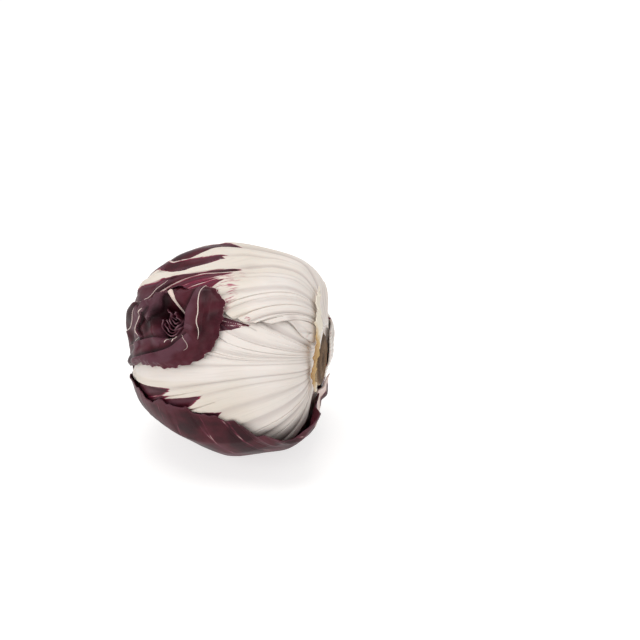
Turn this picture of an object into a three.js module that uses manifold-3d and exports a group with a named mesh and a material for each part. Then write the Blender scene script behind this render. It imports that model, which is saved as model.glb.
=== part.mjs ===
// Radicchio head, in millimetres: a round, tightly wrapped chicory head that lies on its side.
// +X points out of the cut stem, +Z is up, and the crown, where the leaf tips close, faces -Y and up.
// Every leaf is a thin closed sheet. Leaves are laid one over the other, from the heart outwards, and each
// one rides on the leaves that it covers, so that the sheets never cross.
import * as THREE from "three";
import { mergeVertices } from "three/addons/utils/BufferGeometryUtils.js";
import Module from "manifold-3d";

const wasm = await Module();
wasm.setup();

// Driving dimensions
const HEART_HALF_LENGTH = 51.5;
const HEART_HALF_WIDTH = 54;
const HEART_SQUARENESS = 2.3;
const STEM_END_SQUARENESS = 3.5;
const HEART_SEAT_X = 48.5;
const HEART_FLAT_HEIGHT = 2.6;
const BALL_RADIUS = 57;
const HEAD_CENTRE = new THREE.Vector3(0.75, -0.7, 56);
const FLAT_SPOT_RADIUS = 14;
const SHEET = 0.8;
const CLEARANCE = 0.85;
const ROOM = 3.0;
const MIDRIB = 1.0;
const RIB_CREST = 0.85;
const RIB_FURROW = 0.12;
const DRAPE = 18;
const LAP_ANGLE = 150;
const PETIOLE_HALF_TURN = 46;
const FOOT_MARGIN = 2;
const CROWN_POLAR = 117.6;
const CROWN_AROUND = 42;
const CROWN_DEPTH = 9;
const CROWN_MOUTH = 14;
const FLAP_SHEET = 1.1;
const FLAP_JAG = 0.7;
const CORE_INSET = 1.0;
const EDGE_LIFT = 7;
const STUMP_RADIUS = 14;
const STUMP_FACE_X = 52;
const STUMP_GAP = 0.3;

// Where the heart swells (+) or is dented (-): angle from the stem axis, angle round it, height in mm, and how
// closely it is gathered there
const SWELLS = [[132, 84, 3.6, 4], [85, 114, 2.6, 8], [117, -60, -8.5, 13], [64, -68, -4.5, 20]];

// Each leaf: the point of the head under its middle, as an angle from the stem axis (polar) and an angle
// around it (0 faces the front, 90 is up); its outline as [angle from the tip, distance from the middle];
// the distance of its base from the stem axis; the number of ribs on each side of its midrib and the angle
// at which they part from it; and the number of rows of facets along it.
const LEAVES = [
  {
    name: "leaf_back", polar: 84, around: 160, base: 20, splay: 30, ribs: 6, rows: 15,
    outline: [[-150, 52], [-120, 58], [-90, 62], [-60, 70], [-30, 92], [0, 108], [30, 100], [60, 76],
      [90, 62], [120, 57], [150, 52]],
  },
  {
    name: "leaf_front", polar: 84, around: 20, base: 20, splay: 34, ribs: 7, rows: 13, tipTurn: -11, sway: 3,
    outline: [[-150, 62], [-120, 69], [-90, 71], [-60, 74], [-35, 78], [-14, 76], [0, 50], [9, 31], [22, 22],
      [42, 21], [62, 27], [90, 42], [120, 50], [150, 54]],
  },
  {
    name: "leaf_top", polar: 84, around: 90, base: 20, splay: 19, ribs: 7, rows: 13, tipTurn: -5, sway: 9,
    outline: [[-150, 63], [-143, 57], [-135, 49], [-120, 48], [-105, 48.5], [-92, 46], [-78, 41], [-62, 37],
      [-46, 36], [-34, 42], [-25, 56], [-14, 68], [0, 74], [30, 72], [60, 68], [90, 62], [120, 56],
      [150, 50]],
  },
  {
    name: "crown_flap", polar: CROWN_POLAR, around: CROWN_AROUND, crown: true,
    outline: [[-167, 46], [-153, 35], [-140, 27], [-120, 24], [-93, 24.5], [-60, 28], [-44, 31], [-20, 32],
      [2, 33], [14, 33.5], [33, 29], [48, 21], [68, 17], [100, 16], [133, 20], [149, 36], [166, 46],
      [180, 48]],
  },
  {
    name: "leaf_outer_back", polar: 91, around: 204, base: 21, splay: 30, ribs: 6, rows: 13,
    outline: [[-150, 46], [-120, 50], [-90, 56], [-45, 70], [0, 84], [45, 58], [90, 36], [120, 34],
      [150, 42]],
  },
  {
    name: "leaf_under", polar: 98, around: -86, base: 21, splay: 40, ribs: 7, rows: 14, lifted: true,
    outline: [[-150, 56], [-120, 58], [-90, 62], [-60, 64], [-25, 68], [0, 71], [20, 73], [36, 76], [47, 75],
      [60, 75], [75, 76], [90, 75], [104, 74], [116, 71], [128, 71.5], [140, 76], [150, 82]],
  },
];

const radians = (degrees) => (degrees * Math.PI) / 180;
const degrees = (angle) => (angle * 180) / Math.PI;
const clamp = (x, low, high) => Math.min(Math.max(x, low), high);
const ease = (x) => {
  const t = clamp(x, 0, 1);
  return t * t * (3 - 2 * t);
};

// The lesser of two lengths, with their meeting rounded off
const softLess = (a, b, k) => (a ** -k + b ** -k) ** (-1 / k);

// A direction out of the head's centre
function directionAt(polar, around) {
  const p = radians(polar);
  const a = radians(around);
  return new THREE.Vector3(Math.cos(p), -Math.sin(p) * Math.cos(a), Math.sin(p) * Math.sin(a));
}
const pointAt = (d, r) => HEAD_CENTRE.clone().addScaledVector(d, r);

// The heart is a slightly square ball, squarer at its stem end, with a few swells and dents. It is flat where
// the head lies and where the stem stands on it.
const swells = SWELLS.map(([polar, around, height, gather]) => ({
  way: directionAt(polar, around), height, gather,
}));

function heartRadius(d) {
  const across = Math.hypot(d.y, d.z);
  const n = HEART_SQUARENESS + (STEM_END_SQUARENESS - HEART_SQUARENESS) * ease(d.x / 0.7);
  let r = ((Math.abs(d.x) / HEART_HALF_LENGTH) ** n + (across / HEART_HALF_WIDTH) ** n) ** (-1 / n);
  for (const { way, height, gather } of swells) r += height * Math.max(0, d.dot(way)) ** gather;
  if (d.z < -0.2) r = softLess(r, (HEAD_CENTRE.z - HEART_FLAT_HEIGHT) / -d.z, 26);
  if (d.x > 0.2) r = softLess(r, HEART_SEAT_X / d.x, 40);
  return r;
}

// The plane of a leaf, wrapped on the ball: middle, the way to its tip, and the way across it
function leafFrame(leaf) {
  const middle = directionAt(leaf.polar, leaf.around);
  const away = leaf.crown ? new THREE.Vector3(0.877, -0.246, 0.412) : new THREE.Vector3(-1, 0, 0);
  const tip = away.addScaledVector(middle, -away.dot(middle)).normalize();
  const across = leaf.crown ? new THREE.Vector3().crossVectors(middle, tip)
    : new THREE.Vector3().crossVectors(tip, middle);
  return { middle, tip, across };
}

function toDirection(frame, x, y) {
  const r = Math.hypot(x, y) + 1e-9;
  const turn = r / BALL_RADIUS;
  return frame.middle.clone().multiplyScalar(Math.cos(turn))
    .addScaledVector(frame.across, (Math.sin(turn) * x) / r)
    .addScaledVector(frame.tip, (Math.sin(turn) * y) / r);
}

function toPlane(frame, d) {
  const x = d.dot(frame.across);
  const y = d.dot(frame.tip);
  const r = (Math.acos(clamp(d.dot(frame.middle), -1, 1)) * BALL_RADIUS) / (Math.hypot(x, y) + 1e-12);
  return [x * r, y * r];
}

// The outline as a smooth closed curve through its points, read by angle, with a gentle wave along it
function outlineRadius(leaf, angle) {
  const points = leaf.points;
  const count = points.length;
  const at = (i) => {
    const turn = Math.floor(i / count);
    const [a, r] = points[i - turn * count];
    return [a + 360 * turn, r];
  };
  let i = 0;
  while (i < count && at(i + 1)[0] <= angle) i += 1;
  while (at(i)[0] > angle) i -= 1;
  const [a1, r1] = at(i);
  const [a2, r2] = at(i + 1);
  const t = (angle - a1) / (a2 - a1);
  const m1 = ((r2 - at(i - 1)[1]) / (a2 - at(i - 1)[0])) * (a2 - a1);
  const m2 = ((at(i + 2)[1] - r1) / (at(i + 2)[0] - a1)) * (a2 - a1);
  const t2 = t * t;
  const t3 = t2 * t;
  const heights = (2 * t3 - 3 * t2 + 1) * r1 + (3 * t2 - 2 * t3) * r2;
  const slopes = (t3 - 2 * t2 + t) * m1 + (t3 - t2) * m2;
  return (heights + slopes) * (1 + 0.012 * Math.sin(23 * radians(angle) + leaf.around));
}

// How far a leaf lifts what lies over it: all of its room inside the outline, easing to none past it
function cover(leaf, d) {
  const [x, y] = toPlane(leaf.frame, d);
  const outside = Math.hypot(x, y) - outlineRadius(leaf, degrees(Math.atan2(x, y)));
  return 1 - ease(outside / DRAPE);
}

function floorUnder(order, d) {
  let r = heartRadius(d);
  for (let i = 0; i < order; i += 1) r += ROOM * cover(LEAVES[i], d);
  return r;
}

// The foot of a rib: the base of the leaf clasps the stem, from one side (v = -1) to the other (v = 1)
const footAt = (leaf, v) =>
  toPlane(leaf.frame, directionAt(degrees(leaf.base / BALL_RADIUS), leaf.around + v * PETIOLE_HALF_TURN));

// A point of the leaf's plane: t runs evenly from its base to its edge, v from one side round the tip to the
// other. Lines of equal v are the ribs: they rise beside the midrib and part from it one by one.
function leafPoint(leaf, t, v) {
  const tipTurn = leaf.tipTurn ?? 0;
  const onOutline = (angle) => [Math.sin(radians(angle)), Math.cos(radians(angle))]
    .map((share) => share * outlineRadius(leaf, angle));
  const edge = onOutline(v * LAP_ANGLE + tipTurn * (1 - Math.abs(v)) ** 2);
  const tip = onOutline(tipTurn);
  const foot = footAt(leaf, v);
  const start = leaf.base - radians(leaf.polar) * BALL_RADIUS;
  const midribAt = (y) => (tip[0] * (y - start)) / (tip[1] - start);
  const slope = 1 / Math.tan(radians(leaf.splay + 30 * Math.abs(v) ** 1.5));
  const low = foot[1] + 6;
  const fork = edge[1] - Math.abs(edge[0] - midribAt(edge[1])) * slope;
  const parting = low + 8 * Math.log1p(Math.exp((fork - low) / 8));
  const knee = [(0.55 + 0.7 * v ** 4) * foot[0] + midribAt(parting), parting];
  const first = Math.hypot(knee[0] - foot[0], knee[1] - foot[1]);
  const last = Math.hypot(edge[0] - knee[0], edge[1] - knee[1]);
  const u = (t * (first + last)) / (first + Math.sqrt(first * first + (last * last - first * first) * t));
  const [x, y] = [0, 1].map((k) => (1 - u) ** 2 * foot[k] + 2 * u * (1 - u) * knee[k] + u * u * edge[k]);
  const along = clamp((y - start) / (tip[1] - start), 0, 1);
  return [x + (leaf.sway ?? 0) * Math.sin(2 * Math.PI * along) * (1 - Math.abs(v)) ** 2 * (1 - t * t), y];
}

// Ribs stand out of the sheet: crests on every second line, furrows between, both fading to the edge
function ribHeight(t, column, columns) {
  const middle = (columns - 1) / 2;
  const crest = (column - middle) % 2 === 0 ? RIB_CREST : RIB_FURROW;
  return (column === middle ? MIDRIB : crest) * ease(t / 0.15) * (1 - 0.6 * t);
}

// The edge of the outermost leaf stands off the head near the stem, on the front side
const edgeLift = (t, v) => EDGE_LIFT * ease((t - 0.5) / 0.5) * ease((v - 0.7) / 0.2);

function bodyGeometry(points, index) {
  const geometry = new THREE.BufferGeometry();
  const positions = new Float32Array(points.flatMap((p) => [p.x, p.y, p.z]));
  geometry.setAttribute("position", new THREE.BufferAttribute(positions, 3));
  geometry.setIndex(index);
  return geometry;
}

// A closed sheet from two matching grids of points, outer and inner, with a rim all round. Each cell is cut
// along its shorter diagonal.
function sheetGeometry(rows, columns, outer, inner) {
  const size = rows * columns;
  const id = (side, i, j) => side * size + i * columns + j;
  const index = [];
  const quad = (a, b, c, d) => index.push(a, b, c, a, c, d);
  for (let i = 0; i < rows - 1; i += 1) {
    for (let j = 0; j < columns - 1; j += 1) {
      const [a, b, c, d] = [id(0, i, j), id(0, i, j + 1), id(0, i + 1, j + 1), id(0, i + 1, j)];
      const straight = outer[a].distanceTo(outer[c]) < outer[b].distanceTo(outer[d]);
      const cut = straight ? [a, b, c, a, c, d] : [a, b, d, b, c, d];
      index.push(...cut, ...cut.map((corner) => corner + size).reverse());
    }
  }
  for (let j = 0; j < columns - 1; j += 1) {
    quad(id(1, 0, j), id(1, 0, j + 1), id(0, 0, j + 1), id(0, 0, j));
    quad(id(0, rows - 1, j), id(0, rows - 1, j + 1), id(1, rows - 1, j + 1), id(1, rows - 1, j));
  }
  for (let i = 0; i < rows - 1; i += 1) {
    quad(id(0, i, 0), id(0, i + 1, 0), id(1, i + 1, 0), id(1, i, 0));
    quad(id(1, i, columns - 1), id(1, i + 1, columns - 1), id(0, i + 1, columns - 1), id(0, i, columns - 1));
  }
  return bodyGeometry([...outer, ...inner], index);
}

// The outermost leaf ends in a small flat spot, on which the head rests
function settle(p) {
  if (p.z > 8) return p;
  const share = 1 - ease((Math.hypot(p.x - HEAD_CENTRE.x, p.y - HEAD_CENTRE.y) - FLAT_SPOT_RADIUS) / 6);
  p.z = Math.max(p.z * (1 - share), 0);
  return p;
}

function leafGeometry(leaf, order) {
  const rows = leaf.rows;
  const columns = 4 * leaf.ribs + 3;
  const outer = [];
  const inner = [];
  for (let i = 0; i < rows; i += 1) {
    const t = i / (rows - 1);
    for (let j = 0; j < columns; j += 1) {
      const v = (2 * j) / (columns - 1) - 1;
      const d = toDirection(leaf.frame, ...leafPoint(leaf, t, v));
      const low = floorUnder(order, d) + CLEARANCE + (leaf.lifted ? edgeLift(t, v) : 0);
      inner.push(pointAt(d, low));
      outer.push(settle(pointAt(d, low + SHEET + ribHeight(t, j, columns))));
    }
  }
  return sheetGeometry(rows, columns, outer, inner);
}

// Each leaf gets its plane, and its outline is closed round its foot
for (const leaf of LEAVES) {
  leaf.frame = leafFrame(leaf);
  leaf.points = [...leaf.outline];
  if (leaf.crown) continue;
  const [x, y] = footAt(leaf, 1);
  const side = degrees(Math.atan2(x, y));
  const reach = Math.hypot(x, y) + FOOT_MARGIN;
  leaf.points.push([side, reach], [180, reach]);
  leaf.points.unshift([-side, reach]);
}

// The crown: the flap of the last tip dips into a hollow, and the curled tips of the heart stand in it
const CROWN = LEAVES.findIndex((leaf) => leaf.crown);
const crownFrame = LEAVES[CROWN].frame;
const crownDistance = (d) => Math.hypot(...toPlane(crownFrame, d));
const flapFloor = (d) => floorUnder(CROWN, d) + CLEARANCE
  - CROWN_DEPTH * ease((CROWN_MOUTH - crownDistance(d)) / (CROWN_MOUTH - 3));

// Rings of points round the crown: the flap and the core share the rings of the hollow, and meet in it
const CROWN_COLUMNS = 40;
const HOLLOW_RINGS = [2, 4, 6.5, 9, 11.5, CROWN_MOUTH];
const FLAP_SHARES = [0.33, 0.66, 1];
const CORE_RINGS = [...HOLLOW_RINGS, 18, 24, 32, ...Array.from({ length: 14 }, (_, i) => 41 + 10 * i)];

function ringPoints(distanceAt, radiusOf) {
  const points = [];
  for (let j = 0; j < CROWN_COLUMNS; j += 1) {
    const turn = (360 * j) / CROWN_COLUMNS - 180;
    const angle = radians(turn);
    const distance = distanceAt(turn, j);
    const d = toDirection(crownFrame, distance * Math.sin(angle), distance * Math.cos(angle));
    points.push(pointAt(d, radiusOf(d)));
  }
  return points;
}

// A closed body from a first point, rings of points and a last point
function ringedGeometry(first, rings, last) {
  const points = [first, ...rings.flat(), last];
  const index = [];
  const id = (ring, j) => 1 + ring * CROWN_COLUMNS + (j % CROWN_COLUMNS);
  for (let j = 0; j < CROWN_COLUMNS; j += 1) {
    index.push(0, id(0, j), id(0, j + 1));
    for (let i = 0; i < rings.length - 1; i += 1) {
      index.push(id(i, j), id(i + 1, j), id(i + 1, j + 1), id(i, j), id(i + 1, j + 1), id(i, j + 1));
    }
    index.push(points.length - 1, id(rings.length - 1, j + 1), id(rings.length - 1, j));
  }
  return bodyGeometry(points, index);
}

// The flap of the last tip: a sheet with a jagged edge
function flapGeometry() {
  const outline = (angle, j) => outlineRadius(LEAVES[CROWN], angle) + (j % 2 ? FLAP_JAG : -FLAP_JAG);
  const side = (thickness) => {
    const radiusOf = (d) => flapFloor(d) + thickness;
    return [...HOLLOW_RINGS.map((distance) => ringPoints(() => distance, radiusOf)),
      ...FLAP_SHARES.map((share) => ringPoints((angle, j) => CROWN_MOUTH
        + share * (outline(angle, j) - CROWN_MOUTH), radiusOf))];
  };
  const middle = crownFrame.middle;
  const [top, under] = [pointAt(middle, flapFloor(middle) + FLAP_SHEET), pointAt(middle, flapFloor(middle))];
  return ringedGeometry(top, [...side(FLAP_SHEET), ...side(0).reverse()], under);
}

// The core: the packed inner leaves as one body, drawn in to meet the flap in the hollow of the crown
function coreGeometry() {
  const radiusOf = (d) => {
    const sunk = ease((CROWN_MOUTH - crownDistance(d)) / 8);
    return (1 - sunk) * (heartRadius(d) - CORE_INSET) + sunk * (flapFloor(d) + FLAP_SHEET / 2);
  };
  const middle = crownFrame.middle;
  const back = middle.clone().negate();
  return ringedGeometry(pointAt(middle, radiusOf(middle)),
    CORE_RINGS.map((distance) => ringPoints(() => distance, radiusOf)), pointAt(back, radiusOf(back)));
}

// The curled tips: [turn round the crown, distance from its middle, arc, height of the top over the mouth]
const CURLED_TIPS = [
  [20, 10.5, 120, 0.5], [150, 9.5, 130, 1.5], [265, 9.8, 120, 1.0], [75, 6.8, 150, 0.8], [210, 6.4, 150, 0.2],
  [330, 5.6, 160, 0.4], [100, 3.2, 190, -0.6],
];
const CURL_ROOT = 1.2;
const CURL_LEAN = 0.22;

function curlGeometry([turn, distance, arc, rise]) {
  const rows = 4;
  const columns = 9;
  const mouth = heartRadius(crownFrame.middle) + CLEARANCE;
  const root = flapFloor(crownFrame.middle) - CURL_ROOT;
  const grid = (offset) => {
    const points = [];
    for (let i = 0; i < rows; i += 1) {
      const t = i / (rows - 1);
      for (let j = 0; j < columns; j += 1) {
        const s = (2 * j) / (columns - 1) - 1;
        const angle = radians(turn + (s * arc) / 2);
        const r = (distance + offset) * (1 - CURL_LEAN * t * t) * (1 - 0.12 * s * s);
        const height = root + (mouth + rise - 2.4 * s * s - root) * t;
        points.push(pointAt(crownFrame.middle, height)
          .addScaledVector(crownFrame.tip, r * Math.cos(angle))
          .addScaledVector(crownFrame.across, r * Math.sin(angle)));
      }
    }
    return points;
  };
  return sheetGeometry(rows, columns, grid(SHEET / 2), grid(-SHEET / 2));
}

// Join closed meshes into one body
function joined(geometries) {
  const solids = geometries.map((geometry) => {
    const merged = mergeVertices(geometry, 1e-4);
    return new wasm.Manifold(new wasm.Mesh({
      numProp: 3,
      vertProperties: merged.attributes.position.array,
      triVerts: new Uint32Array(merged.index.array),
    }));
  });
  const mesh = solids.slice(1).reduce((all, solid) => all.add(solid), solids[0]).getMesh();
  const geometry = new THREE.BufferGeometry();
  geometry.setAttribute("position", new THREE.BufferAttribute(mesh.vertProperties, 3));
  geometry.setIndex([...mesh.triVerts]);
  return geometry;
}

// The cut stem: a short stub turned about the stem axis, standing on the heart's seat
function stumpGeometry() {
  const start = HEART_SEAT_X - CORE_INSET + STUMP_GAP;
  const profile = [[0, start], [STUMP_RADIUS + 0.6, start], [STUMP_RADIUS + 0.8, start + 2.5],
    [STUMP_RADIUS, STUMP_FACE_X - 1.2], [STUMP_RADIUS - 1, STUMP_FACE_X - 0.2],
    [STUMP_RADIUS - 4, STUMP_FACE_X], [0, STUMP_FACE_X - 0.6]];
  return new THREE.LatheGeometry(profile.map(([r, x]) => new THREE.Vector2(r, x)), 28).rotateZ(-Math.PI / 2)
    .translate(HEAD_CENTRE.x, HEAD_CENTRE.y, HEAD_CENTRE.z);
}

// The dry base of a leaf that was torn off: a narrow crescent that clasps the stem's front side
const TORN_POLAR = 25.5;
const TORN_FROM = -16;
const TORN_TO = 106;
function tornGeometry() {
  const columns = 26;
  const rows = 4;
  const outer = [];
  const inner = [];
  for (let i = 0; i < rows; i += 1) {
    for (let j = 0; j < columns; j += 1) {
      const s = j / (columns - 1);
      const around = TORN_FROM + (TORN_TO - TORN_FROM) * s;
      const middle = TORN_POLAR + 0.001 * (around - TORN_FROM) ** 2;
      const half = 0.6 + 2.4 * Math.sin(Math.PI * s) ** 0.7 * (1 + 0.25 * Math.sin(9 * s + 1));
      const across = (2 * i) / (rows - 1) - 1;
      const ragged = i === rows - 1 ? 0.7 * Math.sin(31 * s) : 0;
      const d = directionAt(middle + half * across + ragged, around);
      const low = floorUnder(LEAVES.length, d) + CLEARANCE + 0.8 * ease(across) * Math.sin(Math.PI * s);
      inner.push(pointAt(d, low));
      outer.push(pointAt(d, low + SHEET));
    }
  }
  return sheetGeometry(rows, columns, outer, inner);
}

const surface = (color, roughness) => new THREE.MeshStandardMaterial({ color, roughness, metalness: 0 });
const MATERIALS = {
  heart: surface(0x56202f, 0.45),
  leaf_front: surface(0xe9e2da, 0.4),
  leaf_top: surface(0xe9e2da, 0.4),
  leaf_back: surface(0x7a3a4c, 0.45),
  leaf_outer_back: surface(0x7a3a4c, 0.45),
  leaf_under: surface(0x4f1c2a, 0.45),
  stump: surface(0xc9a878, 0.8),
  torn_leaf_base: surface(0xc8ab79, 0.8),
};

const head = new THREE.Group();
function addNode(name, geometry) {
  const mesh = new THREE.Mesh(geometry, MATERIALS[name]);
  mesh.name = name;
  head.add(mesh);
}

addNode("heart", joined([coreGeometry(), flapGeometry(), ...CURLED_TIPS.map(curlGeometry)]));
addNode("stump", stumpGeometry());
LEAVES.forEach((leaf, order) => {
  if (!leaf.crown) addNode(leaf.name, leafGeometry(leaf, order));
});
addNode("torn_leaf_base", tornGeometry());

export default head;
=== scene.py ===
# %% [markdown]
# # A radicchio head, dressed leaf by leaf
#
# A radicchio is a round chicory. Thick white ribs rise from a cut stem, fan out, and thin into the wine red
# blade of each leaf, and the leaves close over one another to a hollow crown of curled tips.
# The solid model already gives every leaf its place and its outline. Here each leaf is made again as a fine
# sheet by the same formulas, with rounded ribs, creases, forked veins and a ragged edge, and then painted.

# %% Load the frame
import math
import bpy
import numpy as np
from mathutils import Matrix, Vector


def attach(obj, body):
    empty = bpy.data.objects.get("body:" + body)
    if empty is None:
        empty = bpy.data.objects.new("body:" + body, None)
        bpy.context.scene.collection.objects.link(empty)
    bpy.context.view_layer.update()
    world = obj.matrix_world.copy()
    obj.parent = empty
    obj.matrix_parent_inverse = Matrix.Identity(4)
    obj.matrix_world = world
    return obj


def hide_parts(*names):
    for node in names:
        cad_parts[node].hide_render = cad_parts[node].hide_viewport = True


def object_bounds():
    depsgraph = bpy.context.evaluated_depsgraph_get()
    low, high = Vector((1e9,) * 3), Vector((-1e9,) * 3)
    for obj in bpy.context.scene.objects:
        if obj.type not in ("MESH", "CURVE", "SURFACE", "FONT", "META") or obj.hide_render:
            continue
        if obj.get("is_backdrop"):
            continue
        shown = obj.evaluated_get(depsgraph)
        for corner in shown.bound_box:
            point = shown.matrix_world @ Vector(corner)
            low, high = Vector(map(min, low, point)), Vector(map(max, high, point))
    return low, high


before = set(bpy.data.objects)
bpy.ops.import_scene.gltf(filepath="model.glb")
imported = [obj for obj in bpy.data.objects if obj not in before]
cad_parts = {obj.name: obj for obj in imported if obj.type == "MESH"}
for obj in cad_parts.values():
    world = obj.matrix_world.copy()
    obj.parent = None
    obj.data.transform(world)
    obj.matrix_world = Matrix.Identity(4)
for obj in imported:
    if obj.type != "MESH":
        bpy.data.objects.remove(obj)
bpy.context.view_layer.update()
MM = 0.001

# %% [markdown]
# ## The camera
#
# The photograph looks down on the head a little, and slightly from its stem side. A long lens on a square
# picture stands in for the photographer's. The camera is placed by where the head's centre falls in the
# picture, so that the head fills the same part of the frame.

# %% Camera
HEAD_CENTRE = np.array([0.75, -0.7, 56.0])
IMAGE_SIZE = 640
HEAD_PIXEL = (232, 351)
MM_PER_PIXEL = 0.56
CAMERA_TURN = math.radians(10)
CAMERA_RISE = math.radians(25)
CAMERA_DISTANCE = 1000.0
SENSOR = 36.0

back = np.array([math.sin(CAMERA_TURN) * math.cos(CAMERA_RISE),
                 -math.cos(CAMERA_TURN) * math.cos(CAMERA_RISE), math.sin(CAMERA_RISE)])
right = np.array([math.cos(CAMERA_TURN), math.sin(CAMERA_TURN), 0.0])
up = np.cross(back, right)
middle_pixel = IMAGE_SIZE / 2
target = (HEAD_CENTRE + [0, 0, 1] + right * (middle_pixel - HEAD_PIXEL[0]) * MM_PER_PIXEL
          - up * (middle_pixel - HEAD_PIXEL[1]) * MM_PER_PIXEL)

camera = bpy.data.objects.new("camera", bpy.data.cameras.new("camera"))
camera.data.sensor_width = SENSOR
camera.data.lens = SENSOR * CAMERA_DISTANCE / (MM_PER_PIXEL * IMAGE_SIZE)
pose = Matrix([[*axes, 0.0] for axes in zip(right, up, back)] + [[0, 0, 0, 1]])
camera.matrix_world = Matrix.Translation(Vector((target + back * CAMERA_DISTANCE) * MM)) @ pose
bpy.context.scene.collection.objects.link(camera)
bpy.context.scene.camera = camera
print("lens, mm:", round(camera.data.lens, 1))

# %% [markdown]
# ## Directions and planes
#
# The head is nearly a ball, so every point of it is a direction out of its centre and a height along it.
# A leaf is easiest to draw flat. Its plane is wrapped on the ball so that distances from the leaf's middle
# stay true, as on a polar map.

# %% Directions and planes
BALL_RADIUS = 57.0


def direction_at(polar, around):
    """The way out of the head's centre at an angle from the stem axis and an angle round it, in degrees."""
    p, a = np.radians(polar), np.radians(around)
    return np.stack([np.cos(p) + 0 * a, -np.sin(p) * np.cos(a), np.sin(p) * np.sin(a)], axis=-1)


def ease(x):
    t = np.clip(x, 0.0, 1.0)
    return t * t * (3 - 2 * t)


def soft_less(a, b, k):
    """The lesser of two lengths, with their meeting rounded off."""
    return (a ** -k + b ** -k) ** (-1 / k)


def to_direction(plane, x, y):
    r = np.hypot(x, y) + 1e-9
    turn = r / BALL_RADIUS
    sine = np.sin(turn) / r
    return (np.cos(turn)[..., None] * plane["middle"] + (sine * x)[..., None] * plane["across"]
            + (sine * y)[..., None] * plane["tip"])


def to_plane(plane, d):
    x, y = d @ plane["across"], d @ plane["tip"]
    r = np.arccos(np.clip(d @ plane["middle"], -1, 1)) * BALL_RADIUS / (np.hypot(x, y) + 1e-12)
    return x * r, y * r


print("one degree round the ball, mm:", round(math.radians(1) * BALL_RADIUS, 2))

# %% [markdown]
# ## The heart
#
# Under the leaves that show, dozens more are packed tight. Their common surface is a slightly square ball,
# squarer at its stem end, with a few swells and dents, and flat where it lies and where the stem joins it. A
# packed head is never quite smooth, so a few long waves, drawn from seeded random numbers, are added. Every
# leaf rides on this one surface, so the sheets stay apart whatever its waves do.

# %% The heart's surface
HEART_HALF_LENGTH = 51.5
HEART_HALF_WIDTH = 54.0
HEART_SQUARENESS = 2.3
STEM_END_SQUARENESS = 3.5
HEART_SEAT_X = 48.5
HEART_FLAT_HEIGHT = 2.6
FLAT_SHARPNESS = 26
SEAT_SHARPNESS = 40
# a swell or dent: angle from the stem axis, angle round it, height in mm, how gathered it is
SWELLS = [(132, 84, 3.6, 4), (85, 114, 1.4, 8), (117, -60, -8.5, 13), (64, -68, -4.5, 20)]
random = np.random.default_rng(11)

WAVE_COUNT = 7
WAVE_HEIGHT = 0.24
wave_ways = random.normal(size=(WAVE_COUNT, 3))
wave_ways *= (random.uniform(7, 12, WAVE_COUNT) / np.linalg.norm(wave_ways, axis=1))[:, None]
wave_starts = random.uniform(0, 2 * np.pi, WAVE_COUNT)


def lumps(d):
    """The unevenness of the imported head, in mm, which fades out where the head lies on the floor."""
    waves = np.sin(d @ wave_ways.T + wave_starts).sum(axis=-1)
    return WAVE_HEIGHT * waves * ease((d[..., 2] + 0.95) / 0.3)


def heart_radius(d):
    across = np.hypot(d[..., 1], d[..., 2])
    n = HEART_SQUARENESS + (STEM_END_SQUARENESS - HEART_SQUARENESS) * ease(d[..., 0] / 0.7)
    r = ((np.abs(d[..., 0]) / HEART_HALF_LENGTH) ** n + (across / HEART_HALF_WIDTH) ** n) ** (-1 / n)
    for polar, around, height, gather in SWELLS:
        r = r + height * np.maximum(0, d @ direction_at(polar, around)) ** gather
    below = np.minimum(d[..., 2], -0.2)
    flat = (HEAD_CENTRE[2] - HEART_FLAT_HEIGHT) / -below
    r = np.where(d[..., 2] < -0.2, soft_less(r, flat, FLAT_SHARPNESS), r)
    ahead = np.maximum(d[..., 0], 0.2)
    r = np.where(d[..., 0] > 0.2, soft_less(r, HEART_SEAT_X / ahead, SEAT_SHARPNESS), r)
    return r + lumps(d)


def point_at(d, r):
    return HEAD_CENTRE + d * r[..., None]


print("heart radius toward the stem, the front and the top, mm:",
      heart_radius(direction_at(np.array([0.0, 90, 90]), np.array([0.0, 0, 90]))).round(1))

# %% [markdown]
# ## The leaves
#
# Each leaf is described as a maker would cut it: the point of the head under its middle, the outline round
# that point, and the ribs that part from its midrib. *polar* and *around* are the angles of its middle from
# the stem axis and round it, and *base* is how far out from that axis, in mm, it clasps the stem. *splay* is
# the angle in degrees at which its ribs part, *tip_turn* turns its tip aside, and *sway* bends its midrib to
# an S by so many mm. *white_to* says how far along each rib, from one side of the leaf (-1) to the other
# (1), the white reaches before the wine red blade takes over, and *fade* how fast. *thin* and *midrib* are
# the half widths in mm of the veins that are left in the blade, and *veined* is the share of them that
# shows. *notch* cuts the edge back between two ribs, *bow* bends the midrib, *pull* moves the edge in or out
# by the angle round the middle, and *ragged* says how ragged the edge is. Between the two sides that
# *feathered* names, the red runs up into the white in fine feathers.

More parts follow.
